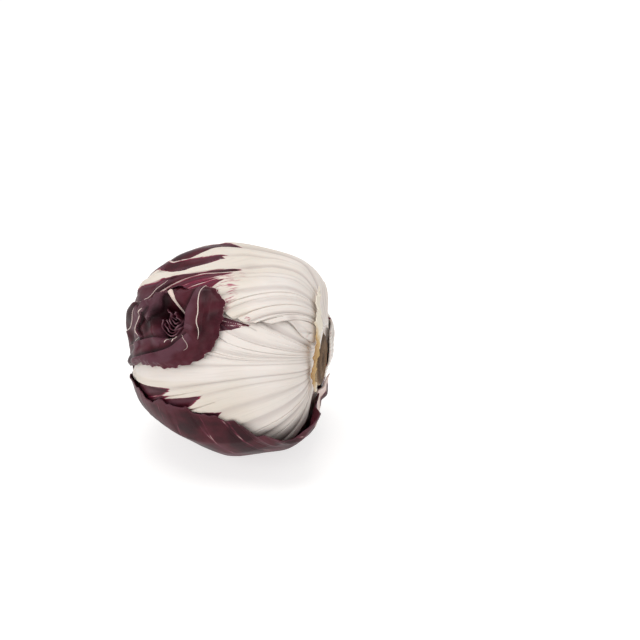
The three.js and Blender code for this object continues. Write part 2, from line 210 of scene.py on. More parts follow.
# %% The leaves
LEAVES = [
    dict(name="leaf_back", polar=84, around=160, base=20, splay=30, ribs=6, tip_turn=0, sway=0,
         white_to=[(-1, 0.5), (0, 0.58), (1, 0.5)], fade=0.2, thin=0.5, midrib=1.4, notch=0.6,
         outline=[(-150, 52), (-120, 58), (-90, 62), (-60, 70), (-30, 92), (0, 108), (30, 100), (60, 76),
                  (90, 62), (120, 57), (150, 52)]),
    dict(name="leaf_front", polar=84, around=20, base=20, splay=34, ribs=7, tip_turn=-11, sway=3,
         white_to=[(-1, 0.9), (-0.55, 0.8), (-0.42, 0.6), (-0.31, 0.5), (-0.22, 0.49), (-0.16, 0.53),
                   (-0.1, 0.6), (-0.05, 0.72), (0, 1.1), (1, 1.2)],
         fade=0.2, thin=0.5, midrib=5.0, notch=1.0,
         outline=[(-150, 62), (-120, 69), (-90, 71), (-60, 74), (-35, 78), (-14, 76), (0, 50), (9, 31),
                  (22, 22), (42, 21), (62, 27), (90, 42), (120, 50), (150, 54)]),
    dict(name="leaf_top", polar=84, around=90, base=20, splay=19, ribs=7, tip_turn=-5, sway=9,
         white_to=[(-1, 1.4), (-0.72, 1.15), (-0.6, 0.97), (-0.5, 0.86), (-0.4, 0.78), (-0.3, 0.7),
                   (-0.2, 0.5), (0, 0.43), (0.15, 0.46), (0.4, 0.5), (1, 0.5)],
         bow=[(0, 0), (0.4, 0), (0.66, -0.11), (0.72, -0.1), (0.8, 0), (1, 0.09)],
         pull=[(-125, 0), (-110, -2.0), (-92, -4.0), (-80, -1.6), (-70, 0)], ragged=0.5,
         feathered=(-0.6, -0.22), fade=0.16, thin=0.85, midrib=5.4, notch=0.4,
         outline=[(-150, 63), (-143, 57), (-135, 49), (-120, 48), (-105, 48.5), (-92, 46), (-78, 41),
                  (-62, 37), (-46, 36), (-34, 42), (-25, 56), (-14, 68), (0, 74), (30, 72), (60, 68),
                  (90, 62), (120, 56), (150, 50)]),
    dict(name="crown_flap", polar=117.6, around=42,
         outline=[(-167, 46), (-153, 35), (-140, 27), (-120, 24), (-93, 24.5), (-60, 28), (-44, 31),
                  (-20, 32), (2, 33), (14, 33.5), (33, 29), (48, 21), (68, 17), (100, 16), (133, 20),
                  (149, 36), (166, 46), (180, 48)]),
    dict(name="leaf_outer_back", polar=91, around=204, base=21, splay=30, ribs=6, tip_turn=0, sway=0,
         white_to=[(-1, 0.5), (0, 0.55), (0.4, 0.4), (0.7, 0.0), (1, -0.3)], fade=0.2, thin=0.5,
         midrib=1.4, notch=0.6,
         outline=[(-150, 46), (-120, 50), (-90, 56), (-45, 70), (0, 84), (45, 58), (90, 36), (120, 34),
                  (150, 42)]),
    dict(name="leaf_under", polar=98, around=-86, base=21, splay=40, ribs=7, tip_turn=0, sway=0,
         white_to=[(-1, 0.25), (0, 0.3), (0.4, 0.15), (0.7, -0.2), (1, -0.3)], fade=0.25, thin=0.3,
         midrib=0.4, veined=0.4, notch=0.3,
         pull=[(-10, 0), (5, -2.6), (16, -3.2), (30, -1), (40, -1.2), (50, -3.6), (62, 0)],
         outline=[(-150, 56), (-120, 58), (-90, 62), (-60, 64), (-25, 68), (0, 71), (20, 73), (36, 76),
                  (47, 75), (60, 75), (75, 76), (90, 75), (104, 74), (116, 71), (128, 71.5), (140, 76),
                  (150, 82)]),
]
LAP_ANGLE = 150
PETIOLE_HALF_TURN = 46
FOOT_MARGIN = 2.0
CROWN_TIP = (0.877, -0.246, 0.412)


def foot_at(leaf, v):
    """The foot of a rib, where the leaf clasps the stem."""
    base_polar = math.degrees(leaf["base"] / BALL_RADIUS)
    return to_plane(leaf, direction_at(base_polar, leaf["around"] + v * PETIOLE_HALF_TURN))


for leaf in LEAVES:
    is_crown = leaf["name"] == "crown_flap"
    leaf["middle"] = direction_at(leaf["polar"], leaf["around"])
    away = np.array(CROWN_TIP if is_crown else (-1.0, 0.0, 0.0))
    away = away - (away @ leaf["middle"]) * leaf["middle"]
    leaf["tip"] = away / np.linalg.norm(away)
    leaf["across"] = np.cross(leaf["tip"], leaf["middle"]) * (-1 if is_crown else 1)
    points = list(leaf["outline"])
    if not is_crown:
        x, y = foot_at(leaf, 1.0)
        side, reach = math.degrees(math.atan2(x, y)), math.hypot(x, y) + FOOT_MARGIN
        points = [(-side, reach), *points, (side, reach), (180, reach)]
    turns = np.array(points, float)
    leaf["turns"] = np.concatenate([turns + (whole, 0) for whole in (-720, -360, 0, 360, 720)])
print("leaves:", ", ".join(leaf["name"] for leaf in LEAVES))

# %% [markdown]
# ## How leaves lie over leaves
#
# A leaf takes some room under whatever lies over it. That room is full inside its outline and fades out
# beyond it, the way a sheet of pastry drapes over the edge of the one below. Adding the rooms of all the
# leaves underneath gives the floor that the next leaf lies on.

# %% Outlines and floors
ROOM = 3.0
DRAPE = 18.0
OUTLINE_WAVE = 0.012
OUTLINE_WAVES = 23


def outline_radius(leaf, angle):
    """The outline's distance from the leaf's middle, as a smooth curve through its points."""
    angles, reach = leaf["turns"].T
    i = np.searchsorted(angles, angle, side="right") - 1
    a0, a1, a2, a3 = (angles[i + k] for k in (-1, 0, 1, 2))
    r0, r1, r2, r3 = (reach[i + k] for k in (-1, 0, 1, 2))
    t = (angle - a1) / (a2 - a1)
    slope_1 = (r2 - r0) / (a2 - a0) * (a2 - a1)
    slope_2 = (r3 - r1) / (a3 - a1) * (a2 - a1)
    t2, t3 = t * t, t * t * t
    heights = (2 * t3 - 3 * t2 + 1) * r1 + (3 * t2 - 2 * t3) * r2
    slopes = (t3 - 2 * t2 + t) * slope_1 + (t3 - t2) * slope_2
    wave = OUTLINE_WAVE * np.sin(OUTLINE_WAVES * np.radians(angle) + leaf["around"])
    return (heights + slopes) * (1 + wave)


def cover(leaf, d):
    x, y = to_plane(leaf, d)
    outside = np.hypot(x, y) - outline_radius(leaf, np.degrees(np.arctan2(x, y)))
    return 1 - ease(outside / DRAPE)


def floor_under(order, d):
    return heart_radius(d) + sum(ROOM * cover(leaf, d) for leaf in LEAVES[:order])


for order, leaf in enumerate(LEAVES):
    low = floor_under(order, leaf["middle"][None, :])
    print(leaf["name"], "lies", round(float(low[0]), 1), "mm from the head's centre")

# %% [markdown]
# ## Rib lines
#
# The ribs of a chicory leaf rise together from the stem beside the midrib, part from it one by one, and run
# out to the edge. Two numbers place every point of a leaf: *t* goes from the foot of a rib (0) to the edge
# (1), and *v* from one side of the leaf, round the tip, to the other. Each line of constant v is one rib: a
# curve with a foot on the stem, a knee beside the midrib and an end on the outline.

# %% Rib lines
RAGGED = 0.5
SIDE_SPLAY = 30
KNEE_RISE = 6
KNEE_SOFTNESS = 8


def ragged_edge(angle, seed):
    """Small nicks and waves of a leaf's edge, in mm."""
    a = np.radians(angle)
    return RAGGED * (np.sin(41 * a + seed) + 0.6 * np.sin(67 * a + 2 * seed) + 0.4 * np.sin(101 * a + seed))


def smooth_through(points, x):
    """A value that eases from one of the points to the next."""
    places, values = np.array(points, float).T
    i = np.clip(np.searchsorted(places, x, side="right") - 1, 0, len(places) - 2)
    return values[i] + (values[i + 1] - values[i]) * ease((x - places[i]) / (places[i + 1] - places[i]))


def leaf_point(leaf, t, v, nick=0.0):
    """Where a point of the leaf lies in its plane, in mm. A nick moves the edge out."""
    def on_outline(angle, nick=0.0):
        r = outline_radius(leaf, angle) + nick
        return np.sin(np.radians(angle)) * r, np.cos(np.radians(angle)) * r
    tip_turn = leaf["tip_turn"]
    angle = v * LAP_ANGLE + tip_turn * (1 - np.abs(v)) ** 2
    pull = smooth_through(leaf.get("pull", [(0, 0), (1, 0)]), angle)
    nick = leaf.get("ragged", 1.0) * ragged_edge(angle, leaf["around"]) + nick
    nick = nick * ease((1 - np.abs(v)) / 0.25)
    edge_x, edge_y = on_outline(angle, nick + pull)
    tip_x, tip_y = on_outline(np.array(float(tip_turn)))
    foot_x, foot_y = foot_at(leaf, v)
    start = leaf["base"] - math.radians(leaf["polar"]) * BALL_RADIUS
    lean = tip_x / (tip_y - start)
    slope = 1 / np.tan(np.radians(leaf["splay"] + SIDE_SPLAY * np.abs(v) ** 1.5))
    low = foot_y + KNEE_RISE
    fork = edge_y - np.abs(edge_x - lean * (edge_y - start)) * slope
    knee_y = low + KNEE_SOFTNESS * np.log1p(np.exp((fork - low) / KNEE_SOFTNESS))
    knee_x = (0.55 + 0.7 * v ** 4) * foot_x + lean * (knee_y - start)
    first = np.hypot(knee_x - foot_x, knee_y - foot_y)
    last = np.hypot(edge_x - knee_x, edge_y - knee_y)
    u = t * (first + last) / (first + np.sqrt(first ** 2 + (last ** 2 - first ** 2) * t))
    shares = (1 - u) ** 2, 2 * u * (1 - u), u * u
    x = shares[0] * foot_x + shares[1] * knee_x + shares[2] * edge_x
    y = shares[0] * foot_y + shares[1] * knee_y + shares[2] * edge_y
    along = np.clip((y - start) / (tip_y - start), 0, 1)
    return x + leaf["sway"] * np.sin(2 * np.pi * along) * (1 - np.abs(v)) ** 2 * (1 - t * t), y


for leaf in LEAVES:
    if leaf["name"] != "crown_flap":
        x, y = leaf_point(leaf, np.array([0.0, 1.0]), np.array([0.0, 0.0]))
        print(leaf["name"], "is", round(float(np.hypot(x[1] - x[0], y[1] - y[0]))), "mm long, foot to tip")

# %% [markdown]
# ## Ribs and blade
#
# Near the stem the ribs lie side by side like rounded cords with a crease between each two. They are not
# evenly spaced, they wander, and the midrib bows. So the grid of each leaf is laid along its ribs: a number
# *w* counts ribs across the leaf, and v is solved for, so that every crest and crease falls on a grid line
# and stays crisp. Where the white ends the ribs narrow to points, and the red blade between them is drawn
# tight in shallow pillows. What each point is, rib or blade, is kept as attributes that later steer the
# paint.

# %% How the ribs stray
def rib_drift(leaf, t, v, step):
    """How many rib steps a rib strays from even spacing."""
    turn = math.radians(7 * leaf["around"])
    uneven = (0.11 * (np.sin(2.3 * v / step + turn) - math.sin(turn))
              + 0.05 * (np.sin(3.9 * v / step + 2 * turn) - math.sin(2 * turn))
              - 0.5 * v / step * np.exp(-0.5 * (v / step) ** 2))
    wander = 0.12 * np.sin(7 * t + 5 * v + leaf["around"]) * t
    bow = smooth_through(leaf.get("bow", [(0, 0), (1, 0)]), t) * (1 - np.abs(v)) ** 3 / step
    return (uneven + wander - bow) * (1 - np.abs(v) ** 3)


SOLVE_ROUNDS = 14


def solve_v(leaf, t, w, step):
    """The place v of each grid line, found again and again until the strayed rib falls on it."""
    v = w + 0 * t
    for _ in range(SOLVE_ROUNDS):
        v = w - step * rib_drift(leaf, t, v, step)
    return v


front = LEAVES[1]
half_way, rib_step = np.array([[0.5]]), 2 / (2 * front["ribs"] + 1)
crests = np.arange(-front["ribs"], front["ribs"] + 1)[None, :] * rib_step
print("front leaf, ribs half way out at v =", solve_v(front, half_way, crests, rib_step).round(2)[0])


# %% Ribs and blade
SHEET = 0.8
EDGE_SHARE = 0.5
CLEARANCE = 0.5
RIB_HEIGHT = 1.45
CREST_SHARE = 0.4
CREST_ROUNDNESS = 2.4
FORK_SPREAD = 0.22
VEIN_HEIGHT = 0.7
HIGHEST_VEIN = 1.3
DEEPEST_CREASE = -0.35
PILLOW = 0.4
SEED_TURN = 97


def rib_pattern(leaf, t, v, w, x, y):
    """The relief of a leaf in mm, and its paint: mm inside a rib, painted crease shade and nearness of the
    red (0-1).
    """
    ribs = leaf["ribs"]
    step = 2 / (2 * ribs + 1)
    x_t, x_w = np.gradient(x, t[:, 0], axis=0), np.gradient(x, w[0], axis=1)
    y_t, y_w = np.gradient(y, t[:, 0], axis=0), np.gradient(y, w[0], axis=1)
    mm_per_w = np.abs(x_t * y_w - x_w * y_t) / (np.hypot(x_t, y_t) + 1e-6)
    seeds = np.random.default_rng(int(leaf["around"]) % SEED_TURN)
    count = 2 * ribs + 1
    fork_at, narrow_by = seeds.uniform(0.5, 0.95, count), seeds.uniform(-0.05, 0.07, count)
    shows = seeds.uniform(0, 1, count) < leaf.get("veined", 1.0)
    height, depth = seeds.uniform(0.75, 1.1, count), seeds.uniform(0.45, 1.0, count + 1)
    line = np.clip(np.round(w / step), -ribs, ribs)
    k = (line + ribs).astype(int)[0][None, :]
    side = (np.floor(w / step) + ribs + 1).astype(int).clip(0, count)
    fork = np.where(line == 0, 0, FORK_SPREAD * step * ease((t - fork_at[k]) / 0.4))
    off = np.abs(w - line * step) + 0 * t
    nearest = np.abs(off - fork)
    half = np.where(off < fork, fork, step / 2 - fork) * mm_per_w + 1e-3
    distance = nearest * mm_per_w
    share = np.clip(distance / half, 0, 1)
    white_to = smooth_through(leaf["white_to"], v) + narrow_by[k] * (1 - share)
    narrow = ease((t - white_to) / leaf["fade"])
    thin = np.where(line == 0, leaf["midrib"] * np.clip(1.25 - t, 0.5, 1),
                    leaf["thin"] * shows[k] * np.clip(1.25 - t, 0.15, 1))
    wide = half * (1 - narrow) + np.minimum(thin, half) * narrow
    inside = wide - distance + 1.5 * (1 - narrow)
    crest = np.minimum(RIB_HEIGHT, CREST_SHARE * half)
    rounded = crest * (0.85 * height[k] - depth[side] * share ** CREST_ROUNDNESS) - 0.1
    cord = VEIN_HEIGHT * wide * np.maximum(0, 1 - (distance / (1.5 * wide + 0.01)) ** 2)
    pillow = PILLOW * ease((distance - wide) / np.maximum(half - wide, 0.3))
    relief = rounded * (1 - narrow) + np.minimum(cord + pillow, HIGHEST_VEIN) * narrow
    relief = np.maximum(relief * ease(t / 0.12), DEEPEST_CREASE)
    # painted shade: the creases between the white ribs go grey
    shade_and_bruise = ease((share - 0.5) / 0.5) * depth[side] * (1 - narrow)
    near_red = ease((t - white_to + 0.3) / 0.32)
    return relief, inside, shade_and_bruise, near_red


print("a rib stands at most", RIB_HEIGHT, "mm high, on a sheet", SHEET, "mm thick")


# %% [markdown]
# ## Sheets
#
# A leaf has two faces and a rim, so its mesh is one closed skin: a grid of points outside, a grid of every
# second point inside, where no detail shows, and a strip round the edge that joins them. Working on whole
# grids with numpy is far quicker than moving vertices one at a time.

# %% Sheets
def skin_faces(rows, columns, closed):
    """Faces of a closed skin: a grid outside, every second point of it inside, and the rims between them."""
    size, inner_rows = rows * columns, (rows + 1) // 2
    inner_columns = columns // 2 if closed else (columns + 1) // 2

    def quads(count_i, count_j, start):
        i = np.arange(count_i - 1)[:, None] * count_j + start
        j = np.arange(count_j if closed else count_j - 1)[None, :]
        ahead = (j + 1) % count_j
        return np.stack([i + j, i + ahead, i + ahead + count_j, i + j + count_j], axis=-1).reshape(-1, 4)

    def rim(outer, inner, flip):
        faces = np.stack([inner[:-1], inner[1:], outer[2::2], outer[1::2], outer[:-1:2]], axis=-1)
        return (faces[:, ::-1] if flip else faces).tolist()

    turn = np.arange(columns + 1) % columns if closed else np.arange(columns)
    inner_turn = np.arange(inner_columns + 1) % inner_columns if closed else np.arange(inner_columns)
    last, inner_last = (rows - 1) * columns, size + (inner_rows - 1) * inner_columns
    faces = quads(rows, columns, 0).tolist() + quads(inner_rows, inner_columns, size)[:, ::-1].tolist()
    faces += rim(turn, size + inner_turn, False) + rim(last + turn, inner_last + inner_turn, True)
    if not closed:
        down, inner_down = np.arange(rows) * columns, size + np.arange(inner_rows) * inner_columns
        faces += rim(down, inner_down, True) + rim(down + columns - 1, inner_down + inner_columns - 1, False)
    return faces


def skin_values(values):
    """A value of every outer point, repeated for the inner ones."""
    outer, inner = (some.reshape(-1, *values.shape[2:]) for some in (values, values[::2, ::2]))
    return np.concatenate([outer, inner])


def make_piece(name, points, faces, attributes, material, nodes):
    """A smooth mesh piece from points in mm, with its attributes, that stands for solid nodes."""
    mesh = bpy.data.meshes.new(name)
    mesh.from_pydata((np.asarray(points).reshape(-1, 3) * MM).tolist(), [], faces)
    mesh.polygons.foreach_set("use_smooth", np.ones(len(mesh.polygons), bool))
    for key, values in attributes.items():
        values = np.asarray(values, np.float32)
        kind = "FLOAT_VECTOR" if values.ndim == 2 else "FLOAT"
        data = mesh.attributes.new(key, kind, "POINT").data
        data.foreach_set("vector" if values.ndim == 2 else "value", values.ravel())
    mesh.materials.append(material)
    piece = bpy.data.objects.new(name, mesh)
    bpy.context.scene.collection.objects.link(piece)
    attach(piece, "root")
    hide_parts(*nodes)
    triangles = sum(len(face) - 2 for face in faces)
    print(f"{name}: {len(mesh.vertices)} points, {triangles} triangles")
    return piece


print("faces of the skin of a sheet with 3 by 3 points:", len(skin_faces(3, 3, False)))

# %% [markdown]
# ## Paint tools
#
# Colours are written as hex values, as a colour picker shows them, and one function turns them into the
# linear light that the renderer works in. One more adds a node, sets its values and links its inputs.

# %% Paint tools
def linear(hex_colour):
    channels = [int(hex_colour[i:i + 2], 16) / 255 for i in (1, 3, 5)]
    return (*[c / 12.92 if c <= 0.04045 else ((c + 0.055) / 1.055) ** 2.4 for c in channels], 1.0)


def add_node(tree, kind, settings=None, **inputs):
    """A node with its settings. An input is a value, or a socket of another node, which is linked."""
    node = tree.nodes.new(kind)
    for key, value in (settings or {}).items():
        setattr(node, key, value)
    for key, value in inputs.items():
        socket = node.inputs[int(key[1:]) if key[1:].isdigit() else key.replace("_", " ")]
        if isinstance(value, bpy.types.NodeSocket):
            tree.links.new(value, socket)
        else:
            socket.default_value = value
    return node


def material_tree(name):
    material = bpy.data.materials.new(name)
    material.use_nodes = True
    material.node_tree.nodes.clear()
    return material, material.node_tree


def ramp_through(tree, factor, stops):
    node = add_node(tree, "ShaderNodeValToRGB", Fac=factor)
    ramp = node.color_ramp
    while len(ramp.elements) < len(stops):
        ramp.elements.new(0.5)
    for element, (place, colour) in zip(ramp.elements, stops):
        element.position, element.color = place, linear(colour)
    return node.outputs["Color"]


print("middle grey in linear light:", round(linear("#808080")[0], 3))

# %% [markdown]
# ## Fresh leaf
#
# A fresh radicchio leaf is crisp and waxy: a thin skin with a soft, broad shine over watery flesh, so light
# goes a little way in. The ribs are ivory, with painted shade greying their creases, and a duller straw where
# they thin, darkened a little to stand partly for shade. The blade is wine red, darker in patches, with
# painted shade near black in its crevices, a painted highlight of dull mauve where it stands high, and a
# paler margin.
# Where white meets red the colour runs along the fibres in fine streaks, about a millimetre wide and a
# centimetre long. The streaks are a noise stretched along the ribs, added to the distance from the rib before
# it is turned into colour. The paint goes on in coats, so the coats are a table: what steers each one, the
# values between which it comes up, how strong it gets, and its colour.

# %% Patterns and coats of a fresh leaf
# each grain's width and length in mm, and how much finer detail it has
GRAINS = dict(streak=(1.0, 14.0, 3.0), feather=(0.55, 10.0, 2.0), fibres=(0.6, 22.0, 2.0))
STREAK_REACH = 2.4
VEIN_CELL = 3.6
BLOOM_PATCH = 15.0
# painted highlight: the mauve lights raised places, and also comes up in random patches
# painted shade: the grey and near black colours darken creases, crevices and hollows, and colour bruises too
# the straw is darkened a little to stand partly for painted shade
COLOURS = dict(ivory="#e9e1dc", straw_and_shade="#d8cdbd", shade_and_bruise="#b0a39f", blade="#4b1621", deep="#2c0a12",
               highlight_and_bloom="#5c3843", margin="#94707a", blush="#7e2640", feather="#a23a5c", crevice_shade_and_bruise="#150307")
SOFT, EVEN = "SMOOTHSTEP", "LINEAR"
BLADE_COATS = [
    ("patches", SOFT, 0.35, 0.6, 1.0, "blade"),
    ("patches", SOFT, 0.5, 0.75, 0.5, "highlight_and_bloom"),
    ("veins", SOFT, 0.05, 0.0, 0.12, "blush"),
    ("flush", EVEN, 0.0, 1.0, 0.5, "blush"),
    # painted highlight: mauve where the blade stands high
    ("highlight_and_bloom", SOFT, 0.0, 0.6, 0.8, "highlight_and_bloom"),
    ("highlight_and_bloom", SOFT, 0.6, 1.0, 0.7, "margin"),
    # painted shade: near black in crevices, in the crown's hollow and under the flap, and on bruises
    ("shade_and_bruise", EVEN, 0.0, 1.0, 0.85, "crevice_shade_and_bruise"),
    ("streaked", SOFT, -0.5, 0.0, 1.0, "blush"),
]
RIB_COATS = [
    # painted shade: grey in the creases between the ribs, and on bruises
    ("shade_and_bruise", EVEN, 0.0, 1.0, 0.55, "shade_and_bruise"),
    ("fibres", SOFT, 0.5, 0.7, 0.12, "shade_and_bruise"),
    ("feathered", EVEN, 0.0, 1.0, 0.85, "feather"),
]
print("coats of paint:", len(BLADE_COATS), "on the blade,", len(RIB_COATS) + 1, "on the ribs")


# %% Fresh leaf material
def fresh_leaf(name, colours, straw_and_shade_share):
    """Waxy leaf skin: the coats of the ribs, those of the blade, and the streaked line where they meet."""
    material, tree = material_tree(name)
    paint = {key: linear(value) for key, value in colours.items()}
    steer = {key: add_node(tree, "ShaderNodeAttribute", dict(attribute_name=key)).outputs["Fac"]
             for key in ("inside", "shade_and_bruise", "near_red", "flush", "highlight_and_bloom")}
    grain = add_node(tree, "ShaderNodeAttribute", dict(attribute_name="grain")).outputs["Vector"]
    place = add_node(tree, "ShaderNodeTexCoord").outputs["Object"]
    for key, (width, length, detail) in GRAINS.items():
        placed = add_node(tree, "ShaderNodeVectorMath", dict(operation="MULTIPLY"), i0=grain,
                          i1=(1 / width, 1 / length, 1.0))
        steer[key] = add_node(tree, "ShaderNodeTexNoise", Vector=placed.outputs[0], Scale=1.0,
                              Detail=detail).outputs["Fac"]
    steer["patches"] = add_node(tree, "ShaderNodeTexNoise", Vector=place, Scale=1 / (BLOOM_PATCH * MM),
                                Detail=2.0).outputs["Fac"]
    steer["veins"] = add_node(tree, "ShaderNodeTexVoronoi", dict(feature="DISTANCE_TO_EDGE"),
                              Vector=place, Scale=1 / (VEIN_CELL * MM)).outputs["Distance"]

    streak_shift = add_node(tree, "ShaderNodeMath", dict(operation="SUBTRACT"), i0=steer["streak"], i1=0.5)
    steer["streaked"] = add_node(tree, "ShaderNodeMath", dict(operation="MULTIPLY_ADD"),
                                 i0=streak_shift.outputs[0], i1=STREAK_REACH, i2=steer["inside"]).outputs[0]
    steer["straw_and_shade"] = add_node(tree, "ShaderNodeMath", dict(operation="ADD"), i0=steer["patches"],
                              i1=steer["near_red"]).outputs[0]
    feathers, flushed = (add_node(tree, "ShaderNodeMapRange", dict(interpolation_type=SOFT),
                                  Value=steer[key], From_Min=low, From_Max=high).outputs[0]
                         for key, low, high in (("feather", 0.52, 0.62), ("flush", 0.1, 0.9)))
    steer["feathered"] = add_node(tree, "ShaderNodeMath", dict(operation="MULTIPLY"), i0=feathers,
                                  i1=flushed).outputs[0]

    # straw near the red, darkened to stand partly for painted shade
    straw_and_shade_coat = ("straw_and_shade", EVEN, 0.0, 2.0, 2 * straw_and_shade_share, "straw_and_shade")
    painted = []
    for colour, coats in ((paint["deep"], BLADE_COATS), (paint["ivory"], [straw_and_shade_coat, *RIB_COATS])):
        for key, curve, low, high, strength, coat in coats:
            amount = add_node(tree, "ShaderNodeMapRange", dict(interpolation_type=curve), Value=steer[key],
                              From_Min=low, From_Max=high, To_Max=strength)
            colour = add_node(tree, "ShaderNodeMix", dict(data_type="RGBA"), i0=amount.outputs[0],
                              i6=colour, i7=paint[coat]).outputs[2]
        painted.append(colour)
    is_rib = add_node(tree, "ShaderNodeMapRange", dict(interpolation_type=SOFT), Value=steer["streaked"],
                      From_Min=0.0, From_Max=0.5)
    colour = add_node(tree, "ShaderNodeMix", dict(data_type="RGBA"), i0=is_rib.outputs[0], i6=painted[0],
                      i7=painted[1]).outputs[2]

    relief = add_node(tree, "ShaderNodeMath", dict(operation="ADD"), i0=steer["fibres"], i1=steer["veins"])
    bump = add_node(tree, "ShaderNodeBump", Height=relief.outputs[0], Strength=0.4, Distance=0.125 * MM)
    rough = add_node(tree, "ShaderNodeMapRange", Value=steer["patches"], To_Min=0.36, To_Max=0.52)
    skin = add_node(tree, "ShaderNodeBsdfPrincipled", Base_Color=colour, Roughness=rough.outputs[0],
                    Normal=bump.outputs[0], IOR=1.42, Specular_IOR_Level=0.22, Subsurface_Weight=0.1,
                    Subsurface_Scale=1.5 * MM, Subsurface_Radius=(1.0, 0.6, 0.5))
    add_node(tree, "ShaderNodeOutputMaterial", Surface=skin.outputs[0])
    return material


print("streaks reach", STREAK_REACH / 2, "mm either way across the line between rib and blade")

# %% Leaf materials
white_ribbed = fresh_leaf("waxy_white_ribbed_leaf", COLOURS, 0.42)
wine_colours = dict(ivory="#dcc8c2", straw_and_shade="#d9c2b0", shade_and_bruise="#a58d8f", blush="#5f2636")
wine_leaf = fresh_leaf("waxy_wine_leaf", {**COLOURS, **wine_colours}, 0.3)
vein_colours = dict(ivory="#dfc9c2", straw_and_shade="#e3d3c2")
pale_vein = fresh_leaf("fleshy_pale_vein", {**COLOURS, **vein_colours}, 0.6)
print("leaf materials:", white_ribbed.name, wine_leaf.name, pale_vein.name)

# %% [markdown]
# ## The leaves of the head
#
# Now every leaf is made, in the order in which they lie. The outermost one is the stiffest: it is buckled
# into broad facets, it stands off the head beside the stem, and the head rests on a small flat spot of it.
# Patches of red that belong to no rib are drawn on the leaf's plane as small polygons and soft ovals.

# %% Patches of red
RED_WEDGE = [(21.0, -15.8), (24.5, -4.0), (26.5, 3.0), (17.0, 3.0), (19.0, -5.0)]
RED_WEDGE_LINES = [[(20.6, -13.0), (21.6, 3.0)], [(20.8, -14.0), (24.0, 2.0)]]
FLUSHES = {
    "leaf_top": [(-42.4, -14.5, 1.3, 4.6, 0.15, 1.0), (-39.0, -1.0, 3.0, 5.0, 0.2, 0.5)],
}
PALE_PLACES = {"leaf_top": [(-4.0, 52.0, 7.0, 16.0, 0.2, 1.0)]}
BRUISES = {"leaf_top": [(-32.5, -37.0, 3.0, 6.0, 0.2, 0.6)]}


def ovals(places, x, y):
    """Soft ovals on the leaf's plane: middle, half width, half length, turn, strength."""
    most = np.zeros(x.shape)
    for x0, y0, half_x, half_y, turn, strength in places:
        right, ahead = x - x0, y - y0
        u = (right * math.cos(turn) - ahead * math.sin(turn)) / half_x
        s = (right * math.sin(turn) + ahead * math.cos(turn)) / half_y
        most = np.maximum(most, strength * ease(1.2 - np.hypot(u, s)))
    return most


def line_distance(x, y, line):
    """The distance to a line, signed by its side, and how far along the line its nearest point is (0-1)."""
    best, side, where = np.full(x.shape, 1e9), np.ones(x.shape), np.zeros(x.shape)
    count = len(line) - 1
    for k, (a, b) in enumerate(zip(line[:-1], line[1:])):
        step = b - a
        s = np.clip(((x - a[0]) * step[0] + (y - a[1]) * step[1]) / (step @ step + 1e-9), 0, 1)
        gap = np.hypot(x - a[0] - s * step[0], y - a[1] - s * step[1])
        nearer = gap < best
        side = np.where(nearer, np.sign(step[0] * (y - a[1]) - step[1] * (x - a[0])), side)
        where = np.where(nearer, (k + s) / count, where)
        best = np.where(nearer, gap, best)
    return best * side, where


def wedge_depth(x, y):
    """How deep a point lies in the red wedge of the front leaf, in mm. It is negative outside."""
    corners = np.array(RED_WEDGE + RED_WEDGE[:1])
    middle = corners[:-1].mean(axis=0)
    depth = np.full(x.shape, 1e9)
    for a, b in zip(corners[:-1], corners[1:]):
        way = (b - a) / np.linalg.norm(b - a)
        across = np.array([-way[1], way[0]])
        across = across * np.sign((middle - a) @ across)
        depth = np.minimum(depth, (x - a[0]) * across[0] + (y - a[1]) * across[1])
    return depth


print("width and length of the red wedge, mm:", np.ptp(np.array(RED_WEDGE), axis=0).round(1))

# %% Make the leaves
LEAF_ROWS, POINTS_PER_RIB = 151, 32
BACK_LEAF_ROWS, BACK_POINTS_PER_RIB = 111, 24
EDGE_LIFT = 7.0
# the flat width and length of a leaf in mm, for the grain of its paint
GRAIN_ACROSS = 60
GRAIN_ALONG = 110
FLAT_SPOT_RADIUS = 14.0
BUCKLE = 1.5
buckle_ways = random.normal(size=(4, 3))
buckle_ways *= (random.uniform(4.5, 7.5, 4) / np.linalg.norm(buckle_ways, axis=1))[:, None]


def edge_lift(t, v):
    """How far the loose edge beside the stem stands off, in mm."""
    return EDGE_LIFT * ease((t - 0.5) / 0.5) * ease((v - 0.7) / 0.2)


def buckles(d):
    """Broad facets with blunt ridges between them, in mm."""
    waves = 1 - np.abs(np.sin(d @ buckle_ways.T + 1.3))
    return BUCKLE * np.maximum(waves ** 1.5, 0).mean(axis=-1) * 1.6


def settle(p):
    """The flat spot under the head."""
    from_middle = np.hypot(p[..., 0] - HEAD_CENTRE[0], p[..., 1] - HEAD_CENTRE[1])
    near = 1 - ease((from_middle - FLAT_SPOT_RADIUS) / 6)
    z = p[..., 2]
    low = np.maximum(z * (1 - near), 0)
    return np.concatenate([p[..., :2], np.where(z > 8, z, low)[..., None]], axis=-1)


def rib_columns(ribs, per_rib):
    """Places across the leaf, closer together at each rib's crest."""
    step = 2 / (2 * ribs + 1)
    u = np.linspace(-0.5, 0.5, per_rib, endpoint=False)
    u = u * (0.45 + 1.1 * np.abs(u))
    cells = np.concatenate([u + k for k in range(-ribs, ribs + 1)] + [[ribs + 0.5]])
    return cells * step


